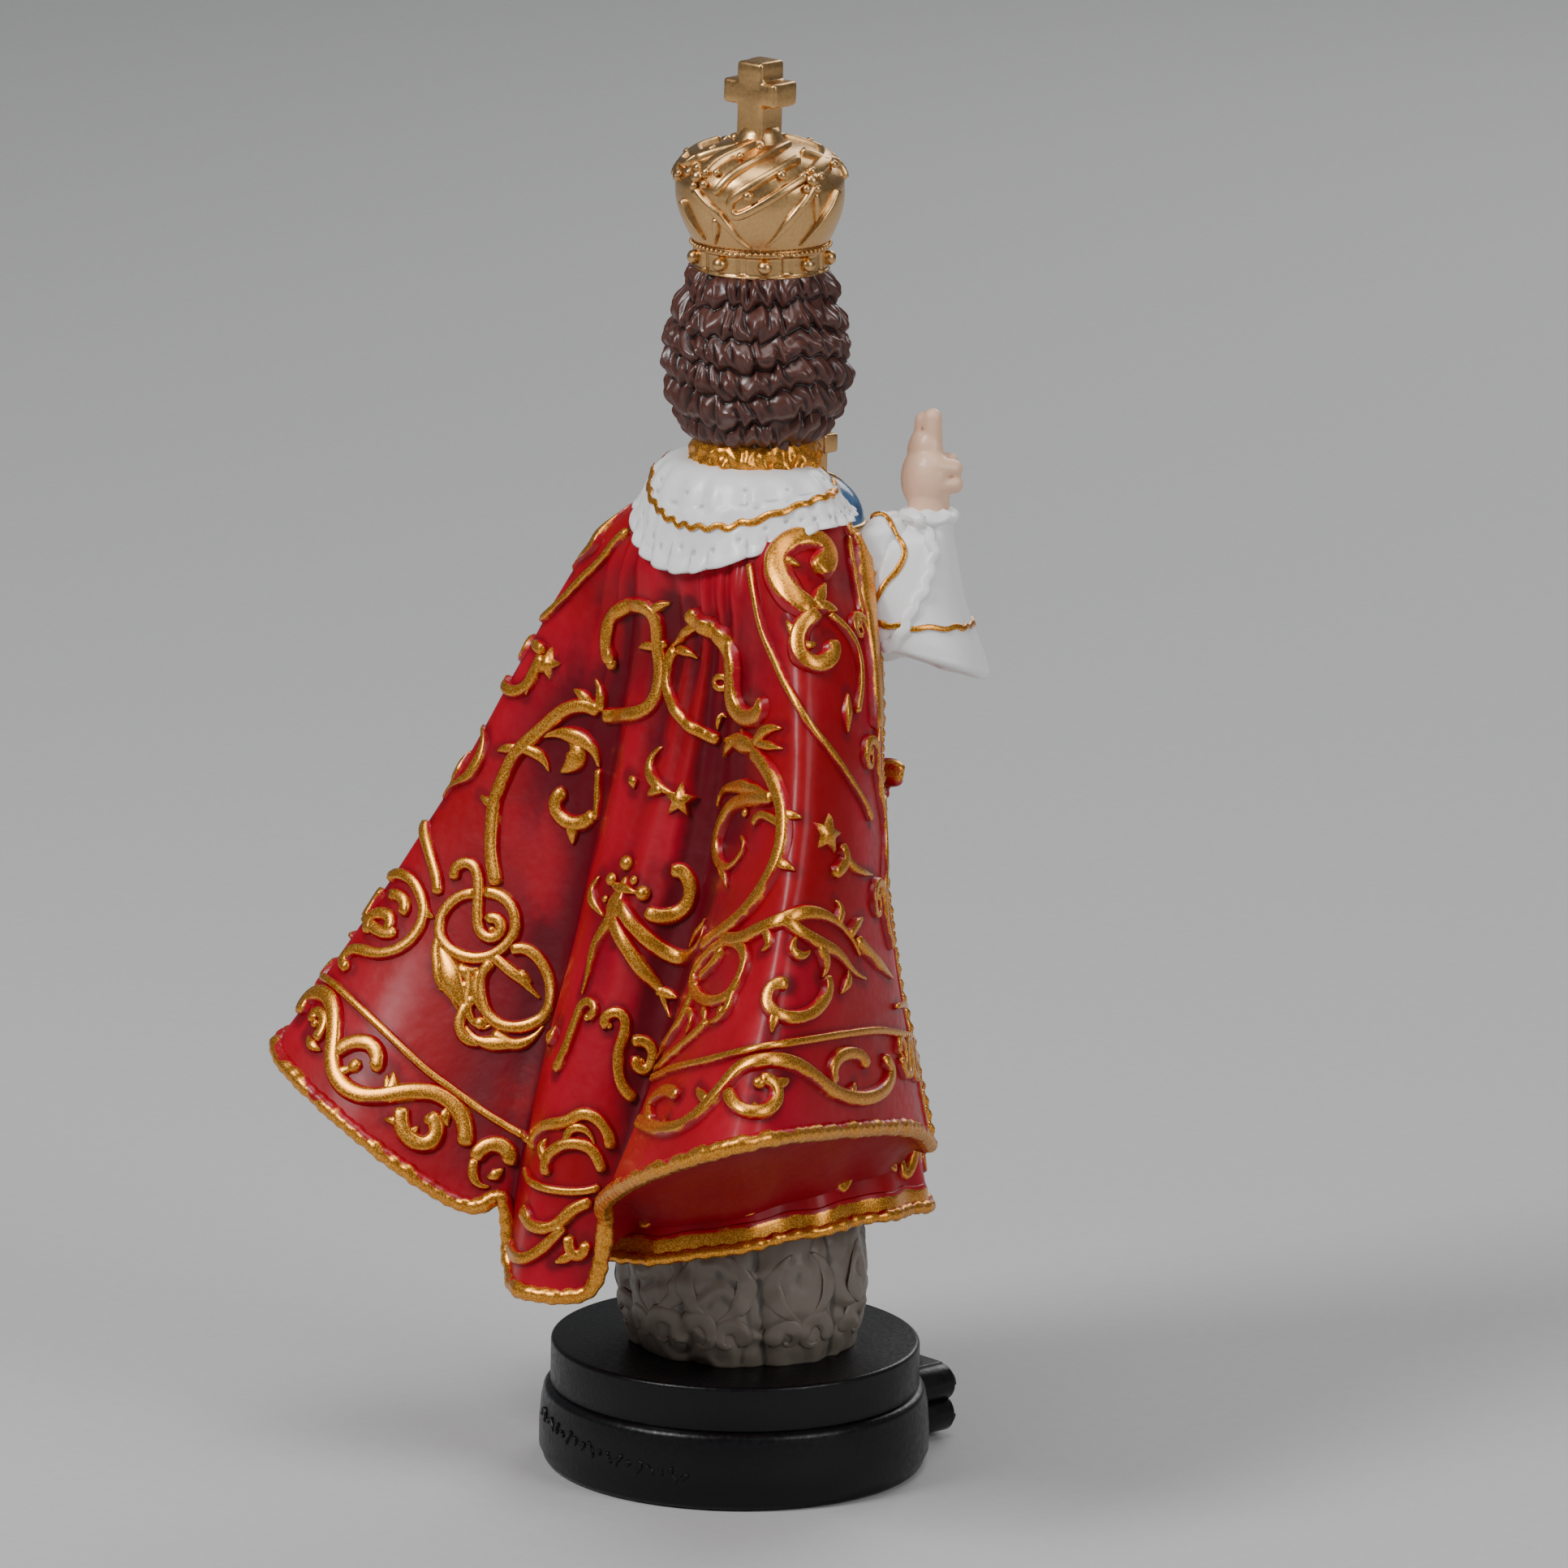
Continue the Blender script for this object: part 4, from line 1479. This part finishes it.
def buildCrown():
    def shape(u, v):
        turn, up = tau * u, mixed(-2, crownDomeTop, v)
        return onCrown(crownRadius(up, turn), turn, up)

    bm = gridBody(crownSizes["columns"], crownSizes["rows"], shape)
    floatLayer(bm, "crest")
    bmesh.ops.transform(bm, matrix=headTurn, verts=bm.verts)
    return bm


crownStrokes = [
    (5, "none", [(864, 221), (875, 205), (890, 194), (910, 185), (930, 176), (942, 168)]),
    (3.2, "none", [(984, 196), (960, 210), (935, 224), (912, 238), (901, 248), (899, 258), (905, 266),
        (916, 264), (935, 254), (958, 240), (980, 226), (992, 219)]),
    (3, "none", [(880, 240), (898, 220), (920, 205), (945, 192), (972, 178)]),
    (5, "none", [(998, 219), (1010, 205), (1018, 195), (1012, 182), (998, 172), (982, 166), (962, 162)]),
    (3.4, "tail", [(859, 236), (870, 250), (886, 265), (900, 282), (912, 296), (928, 308)]),
    (3.4, "tail", [(1001, 232), (992, 248), (982, 260), (970, 275), (958, 290), (943, 305)]),
    (2.6, "tail", [(843, 248), (850, 265), (860, 282), (870, 296)]),
    (2.6, "tail", [(883, 271), (883, 288), (882, 302)]),
    (2.6, "tail", [(1030, 236), (1022, 255), (1010, 272), (996, 290), (984, 303)]),
    (2.6, "tail", [(1004, 240), (1006, 258), (1004, 275)]),
    (3, "none", [(836, 224), (838, 205), (850, 190), (868, 178), (890, 170)]),
    (3, "none", [(1042, 222), (1040, 205), (1030, 190), (1012, 178)]),
]
crownBalls = [
    (913, 196, 3.6), (885, 215, 3.6), (922, 242, 4.5), (962, 218, 4.5), (1024, 205, 4), (998, 173, 4),
    (862, 219, 6), (852, 214, 4), (872, 214, 4), (858, 229, 4), (870, 228, 4), (862, 209, 4),
    (998, 224, 6), (988, 219, 4), (1008, 219, 4), (992, 233, 4), (1004, 233, 4), (998, 213, 4),
    (936, 186, 3), (840, 215, 3.4),
]


def buildCrownDetails():
    s, bm, body = crownSizes, bmesh.new(), buildCrown()
    tree = surfaceTree(body)
    middle = headTurn @ onCrown(0, 0, 10)
    half = Matrix.Translation(middle) @ Matrix.Rotation(pi, 4, "Z") @ Matrix.Translation(-middle)
    perPixel = scrollSizes["fatten"] / scrollSizes["pixelsPerMillimetre"]
    for wide, taper, pixels in crownStrokes:  # each stroke and ball is repeated on the hidden half
        path = drawnPath(tree, pixels, 2)
        for spots in (path, onto(tree, [half @ spot for spot in path])):
            addRidge(bm, tree, spots, wide * perPixel, s["strokeHeight"], taper, 0.4)
    for x, y, size in crownBalls:
        spot = addBallOn(bm, tree, photoPlace(tree, x, y), s["ballProud"], size * perPixel)
        addBallOn(bm, tree, half @ spot, s["ballProud"], size * perPixel)

    def addBandBall(turn, proud, up, radius, flat):
        spot = headTurn @ onCrown(s["bandRadius"] + proud, turn, up)
        addBall(bm, spot, headTurn @ place(sin(turn), cos(turn), 0), radius, flat)

    for k in range(s["studs"]):
        addBandBall(radians(s["studTurn"] + 360 / s["studs"] * k), 0.2, s["bandHeight"] / 2, s["stud"], 0.9)
    for k in range(s["beads"]):
        addBandBall(tau * k / s["beads"], 0.3, s["bandHeight"] + 0.1, s["bead"], 1)
    addCross(bm)
    joinInto(bm, body)
    markHollows(bm, 3, 3)
    return bm


def addCross(bm):
    s, part, skirt = crownSizes, bmesh.new(), bmesh.new()
    right, back = crownAxis(crownDomeTop)
    foot, armTop = s["up"] + crownDomeTop - 1.0, s["armUp"] + s["armHeight"]
    addBox(part, place(right, back, (foot + s["top"]) / 2), (s["stem"], s["depth"], s["top"] - foot))
    for level in (s["armUp"], armTop):
        bmesh.ops.bisect_plane(part, geom=part.verts[:] + part.edges[:] + part.faces[:],
                               plane_co=(0, 0, level), plane_no=(0, 0, 1))
    armFaces = [face for face in part.faces
                if abs(face.normal.x) > 0.9 and s["armUp"] < face.calc_center_median().z < armTop]
    for face in armFaces:
        way = Vector((copysign((s["span"] - s["stem"]) / 2, face.normal.x), 0, 0))
        out = bmesh.ops.extrude_discrete_faces(part, faces=[face])["faces"]
        bmesh.ops.translate(part, verts=list(out[0].verts), vec=way)
    sharp = [edge for edge in part.edges if len(edge.link_faces) == 2 and edge.calc_face_angle() > 0.8]
    bevelEdges(part, sharp, s["crossBevel"])
    bmesh.ops.subdivide_edges(part, edges=[edge for edge in part.edges if edge.calc_length() > 1.2], cuts=2,
                              use_grid_fill=True)
    bmesh.ops.triangulate(part, faces=[face for face in part.faces if len(face.verts) > 4])
    for vert in part.verts:
        vert.co += Vector((0.1, 0.1, 0.1)) * noise.noise(vert.co * 0.5)
    spunProfile(skirt, [(radius, foot + up) for radius, up in s["skirt"]], 32)
    bmesh.ops.translate(skirt, verts=skirt.verts, vec=place(right, back, 0))
    bmesh.ops.recalc_face_normals(part, faces=part.faces)
    for piece in (part, skirt):
        bmesh.ops.transform(piece, matrix=headTurn, verts=piece.verts)
        joinInto(bm, piece)


finishPiece("crown", buildCrownDetails(), crownMetal)

# arms, hands and orb

sleeveSizes = {  # rows of right, back, up, half width, half depth, tilt
    "right": [(18, -17.4, 120, 3.2, 3.4, 0), (17.9, -17, 117.6, 3.7, 4, 0), (17.6, -15.6, 115, 4.6, 6, 0.5),
              (18.6, -14.6, 108, 5.5, 8, 1.4), (20, -15.4, 102.4, 6.1, 9.2, 2.6),
              (20.6, -15.8, 99.6, 6.3, 9.5, 3.1)],
    "left": [(-14.4, -16.4, 106.5, 3, 3.4, 0), (-15, -14.6, 104.6, 4, 5, 0.3), (-16, -12.6, 101, 5, 7.2, 0.8),
             (-17, -12.6, 95, 5.5, 8.6, 1.6), (-17.7, -13.1, 90.4, 6, 9.3, 2.4)],
    "columns": 96, "rows": 60, "hem": 6, "hemDepth": 0.9, "lineUp": 2.6, "lineHalfWidth": 0.36,
    "lineHeight": 0.35,
}
flounceSizes = {  # middle, half sizes
    "right": ((15.2, -12.6, 109.4), (4.5, 7.5, 10.4)), "left": ((-14.8, -11.8, 107), (4.6, 7.2, 10.4)),
}
flounceEdge = {"at": 0.42, "halfWidth": 0.62, "height": 0.62}
flounceEdgeSeen = [(1108, 634), (1123, 635), (1139, 648), (1147, 668), (1149, 690), (1143, 716), (1128, 742),
                   (1119, 766), (1104, 786), (1088, 800)]
flounceLineSeen = [(1068, 637), (1080, 634), (1093, 637), (1102, 656), (1115, 678), (1107, 700), (1090, 720),
                   (1078, 745)]


def sleeveBody(side):
    s = sleeveSizes
    rows = [Vector(row[:3]).to_4d() for row in s[side]]
    sizes = [Vector(row[3:]) for row in s[side]]

    def shape(u, v):
        turn, row = tau * u, round(v * (s["rows"] + s["hem"] * 2))
        share, past = min(row / s["rows"], 1), max(row - s["rows"], 0) / s["hem"]
        middle, (halfWidth, halfDepth, tilt) = splinePoint(rows, share), splinePoint(sizes, share)
        fold = 1 + (0.03 + 0.03 * share) * cos(4 * turn) + 0.02 * sin(7 * turn + 2 * share) * share
        if past <= 1:  # the sleeve and its rounded hem
            fold *= 1 - 0.1 * (1 - cos(past * pi / 2))
            rise = -s["hemDepth"] * sin(past * pi / 2)
        else:  # the hollow inside of the hem
            fold *= mixed(0.9, 0.15, past - 1)
            rise = -s["hemDepth"] + 2.2 * ease(1, 2, past)
        return around(turn, halfWidth * fold, halfDepth * fold, middle.z + tilt * cos(turn) + rise,
                      middle.x, middle.y)

    return gridBody(s["columns"], s["rows"] + s["hem"] * 2, shape)


def addFlounce(bm, side):
    at, size = flounceSizes[side]
    centre = place(*at)
    matrix = Matrix.Translation(centre) @ Matrix.Rotation(pi / 2, 4, "X") @ Matrix.Diagonal(
        (size[0], size[2], size[1], 1))
    made = bmesh.ops.create_uvsphere(bm, u_segments=150, v_segments=110, radius=1, matrix=matrix)["verts"]
    for vert in made:
        way, rough = vert.co - centre, noise.noise(vert.co * 0.35)
        angle, outward = atan2(way.x / size[0], way.z / size[2]), -way.y / size[1]
        past = outward - flounceEdge["at"]
        fold = 0.42 * sin(8 * angle + 3 * rough) * ease(-0.9, 0.1, outward) + 0.35 * rough
        lip = 0.55 * exp(-((past - 0.05 * sin(13 * angle + 4 * rough)) / 0.09) ** 2)
        gap = hypot(((angle * 23 / tau) % 1 - 0.5) * 2.1, (past + 0.2) * 8)
        vert.co += way.normalized() * (fold + lip - 0.28 * exp(-(gap / 0.36) ** 2))


def addCuff(bm, side):
    wrist, (wide, deep) = Vector(sleeveSizes[side][0][:3]), sleeveSizes[side][0][3:5]
    middle = place(*wrist)
    matrix = Matrix.Translation(place(*(wrist + Vector((0, 0.2, -0.9))))) @ Matrix.Diagonal(
        (wide + 1.0, deep + 1.0, 1.5, 1))
    made = bmesh.ops.create_uvsphere(bm, u_segments=90, v_segments=30, radius=1, matrix=matrix)["verts"]
    for vert in made:
        angle = atan2(vert.co.x - middle.x, vert.co.y - middle.y)
        vert.co.z += 0.16 * sin(7 * angle + 2 * noise.noise(vert.co * 0.4))


def buildSleeve(side):
    bm = sleeveBody(side)
    addFlounce(bm, side)
    addCuff(bm, side)
    markHollows(bm, 4, 7)
    return bm


def addFrill(bm, tree):
    frill = evenPath(drawnPath(tree, flounceEdgeSeen, 2), 0.8)
    frill = [spot + photoRight * (0.3 * sin(1.7 * k) + 0.2 * sin(0.7 * k)) for k, spot in enumerate(frill)]
    addRidge(bm, tree, frill, flounceEdge["halfWidth"], flounceEdge["height"], "none", 0.4)


def buildSleeveGold(side, tree):
    bm, s = bmesh.new(), sleeveSizes
    right, back, up, halfWidth, halfDepth, tilt = s[side][-2]
    line = [around(turn, halfWidth, halfDepth, up + s["lineUp"] + 0.25 * tilt * cos(turn)
                   + 0.24 * sin(13 * turn + sin(3 * turn)), right, back)
            for turn in [tau * share for share in shares(192)]]
    line = onto(tree, smoothedPath(onto(tree, line), 6))
    addRidge(bm, tree, line, s["lineHalfWidth"], s["lineHeight"])
    if side == "right":
        addRidge(bm, tree, drawnPath(tree, flounceLineSeen, 3), 0.34, 0.35)
    return bm


for side in ("right", "left"):
    sleeve = buildSleeve(side)
    sleeveTree = surfaceTree(sleeve)
    if side == "right":
        addFrill(sleeve, sleeveTree)
    finishPiece(side + "SleeveGold", buildSleeveGold(side, sleeveTree), goldOnWhite)
    finishPiece(side + "Sleeve", sleeve, whitePaint)


def addRod(bm, start, end, radius, endRadius):
    a, b = place(*start), place(*end)
    matrix = Matrix.Translation((a + b) / 2) @ (b - a).to_track_quat("Z", "Y").to_matrix().to_4x4()
    bmesh.ops.create_cone(bm, cap_ends=True, segments=20, radius1=radius, radius2=endRadius,
                          depth=(b - a).length, matrix=matrix)
    for spot, size in ((a, radius), (b, endRadius)):
        bmesh.ops.create_icosphere(bm, subdivisions=3, radius=size, matrix=Matrix.Translation(spot))


def addLump(bm, at, size):
    matrix = Matrix.Translation(place(*at)) @ Matrix.Diagonal((*size, 1))
    bmesh.ops.create_icosphere(bm, subdivisions=3, radius=1, matrix=matrix)


def blendedFlesh(bm, voxel, rounds):  # overlapping lumps fused into one skin
    mesh = bpy.data.meshes.new("lumps")
    bm.to_mesh(mesh)
    bm.free()
    holder = linkObject("lumps", mesh)
    remesh = holder.modifiers.new("fuse", "REMESH")
    remesh.mode = "VOXEL"
    remesh.voxel_size = voxel
    soften = holder.modifiers.new("soften", "SMOOTH")
    soften.factor = 0.5
    soften.iterations = rounds
    fused = bpy.data.meshes.new_from_object(holder.evaluated_get(bpy.context.evaluated_depsgraph_get()))
    bpy.data.objects.remove(holder)
    made = bmesh.new()
    made.from_mesh(fused)
    bpy.data.meshes.remove(fused)
    markHollows(made, 4, 7)
    return made


handSizes = {"voxel": 0.28, "rounds": 4}
rightHandRods = [  # start, end, radius at each: wrist, two raised fingers, two folded ones, thumb
    ((17.8, -17.3, 117), (17.6, -17.6, 121), 3.1, 2.9),
    ((15.3, -18.2, 126.4), (15.6, -18.2, 132), 1.55, 1.3),
    ((17.2, -18.4, 126.4), (17.2, -18.4, 132.7), 1.55, 1.3),
    ((19, -17.4, 126), (20.1, -19.7, 125.7), 1.6, 1.4),
    ((19.4, -17.4, 123.6), (20.5, -19.6, 123.6), 1.55, 1.3),
    ((14.6, -19.4, 123), (16.4, -20.8, 126.2), 1.35, 1.15),
    ((16.4, -20.8, 126.2), (18.2, -21, 126.5), 1.15, 1.0),
]
rightHandLumps = [((16.9, -17.7, 124), (4.1, 3.2, 4.9)), ((16.2, -18, 127.6), (2.9, 2.2, 3.6))]
orbSizes = {
    "at": (-10.4, -21.6, 112.5), "radius": 7.1, "height": 7.9, "width": 2.6, "span": 6.6, "barUp": 3.5,
    "barHeight": 2.7, "bevel": 0.4, "sunk": 0.6, "bandHalfWidth": 0.45, "bandHeight": 0.35,
}


def buildRightHand():
    bm = bmesh.new()
    for rod in rightHandRods:
        addRod(bm, *rod)
    for lump in rightHandLumps:
        addLump(bm, *lump)
    return blendedFlesh(bm, handSizes["voxel"], handSizes["rounds"])


def buildLeftHand():
    bm = bmesh.new()
    right, back, up = orbSizes["at"]
    under = up - orbSizes["radius"]
    addRod(bm, (-14.6, -15.8, 104), (right, back + 2, under - 0.6), 2.4, 2.2)
    addLump(bm, (right, back + 0.6, under - 0.4), (3.9, 4.2, 2.0))
    for step in (-3, -1, 1, 3):
        addRod(bm, (right + step * 0.9, back - 1.5, under - 0.9),
               (right + step * 1.2, back - orbSizes["radius"] * 0.86, under + 3.4), 1.15, 0.95)
    return blendedFlesh(bm, handSizes["voxel"], handSizes["rounds"])


def buildOrb():
    bm = bmesh.new()
    bmesh.ops.create_uvsphere(bm, u_segments=96, v_segments=64, radius=orbSizes["radius"],
                              matrix=Matrix.Translation(place(*orbSizes["at"])))
    layer = floatLayer(bm, "wash")
    for vert in bm.verts:
        vert[layer] = 0.5 + 0.3 * noise.noise(vert.co * 0.35)
    return bm


def buildOrbCross():
    s, bm, tree = orbSizes, bmesh.new(), surfaceTree(buildOrb())
    (right, back, up), wide = s["at"], s["width"]
    top = up + s["radius"]
    stem = (top + (s["height"] - s["sunk"]) / 2, (wide, wide, s["height"] + s["sunk"]))
    bar = (top + s["barUp"] + s["barHeight"] / 2, (s["span"], wide + 0.1, s["barHeight"]))
    for middle, size in (stem, bar):
        made = addBox(bm, place(right, back, middle), size)
        bevelEdges(bm, list({edge for vert in made for edge in vert.link_edges}), s["bevel"])
    for ways in ((Vector((1, 0, 0)), Vector((0, 1, 0))), (Vector((0, 1, 0)), Vector((0, 0, 1)))):
        band = [place(*s["at"]) + (ways[0] * cos(tau * share) + ways[1] * sin(tau * share)) * s["radius"]
                for share in shares(64)]
        addRidge(bm, tree, band, s["bandHalfWidth"], s["bandHeight"])
    markHollows(bm, 2, 5)
    return bm


finishPiece("rightHand", buildRightHand(), skinPaint)
finishPiece("leftHand", buildLeftHand(), skinPaint)
finishPiece("orb", buildOrb(), orbPaint)
finishPiece("orbCross", buildOrbCross(), crownMetal)

bowSizes = {"at": (8, -17.6, 81), "loop": (2.6, 1.5, 1.1), "knot": (1.3, 1.6, 1.4), "voxel": 0.3, "rounds": 2}


def buildBow():
    bm, s = bmesh.new(), bowSizes
    right, back, up = s["at"]
    addLump(bm, (right, back - 1, up), s["knot"])
    for side in (-1, 1):
        for k in range(3):
            addLump(bm, (right + side * 2.4, back - 0.2 * k, up + (k - 1) * 0.9), s["loop"])
        addRod(bm, (right + side * 0.8, back, up - 1), (right + side * 2.4, back + 0.6, up - 3), 0.9, 0.7)
    made = blendedFlesh(bm, s["voxel"], s["rounds"])
    layer = floatLayer(made, "crest")
    for vert in made.verts:
        vert[layer] = 0.12 + 0.5 * ease(0, 0.5, noise.noise(vert.co * 0.6))
    return made


finishPiece("bow", buildBow(), goldOnRed)

# floor and light

stageSizes = {
    "floor": 20.0, "roughness": 0.85, "sky": (0.8, 0.82, 0.85, 1), "skyStrength": 0.17, "aimUp": 0.1,
}
softboxes = {  # azimuth, elevation, distance, size, power
    "keySoftbox": (-6, 42, 1.2, (0.32, 0.45), 10.5), "fillSoftbox": (98, 28, 1.3, (0.5, 0.7), 5.6),
    "topSoftbox": (48, 80, 1.3, (0.7, 0.7), 5.5), "frontSoftbox": (205, 30, 1.4, (0.6, 0.8), 5),
}


def buildStage():
    bm = bmesh.new()
    bmesh.ops.create_grid(bm, x_segments=2, y_segments=2, size=stageSizes["floor"])
    mesh = bpy.data.meshes.new("floor")
    bm.to_mesh(mesh)
    bm.free()
    floor = linkObject("floor", mesh)
    material, tree, shader = newMaterial("floorPaper")
    feed(tree, shader, {"Base Color": blend(tree, noiseAt(tree, 500, 3), "paper", "palePaper"),
                        "Roughness": stageSizes["roughness"]})
    mesh.materials.append(material)
    world = bpy.data.worlds.new("studio")
    world.use_nodes = True
    feed(world.node_tree, world.node_tree.nodes["Background"],
         {"Color": stageSizes["sky"], "Strength": stageSizes["skyStrength"]})
    bpy.context.scene.world = world


def addSoftbox(name, azimuth, elevation, distance, size, power):
    way = standpoint(radians(azimuth), radians(elevation))
    data = bpy.data.lights.new(name, "AREA")
    data.shape = "RECTANGLE"
    data.size, data.size_y = size
    data.energy = power
    light = linkObject(name, data)
    light.location = Vector((0, 0, stageSizes["aimUp"])) + way * distance
    light.rotation_mode = "QUATERNION"
    light.rotation_quaternion = way.to_track_quat("Z", "Y")


buildStage()
for name, values in softboxes.items():
    addSoftbox(name, *values)

print("size written")
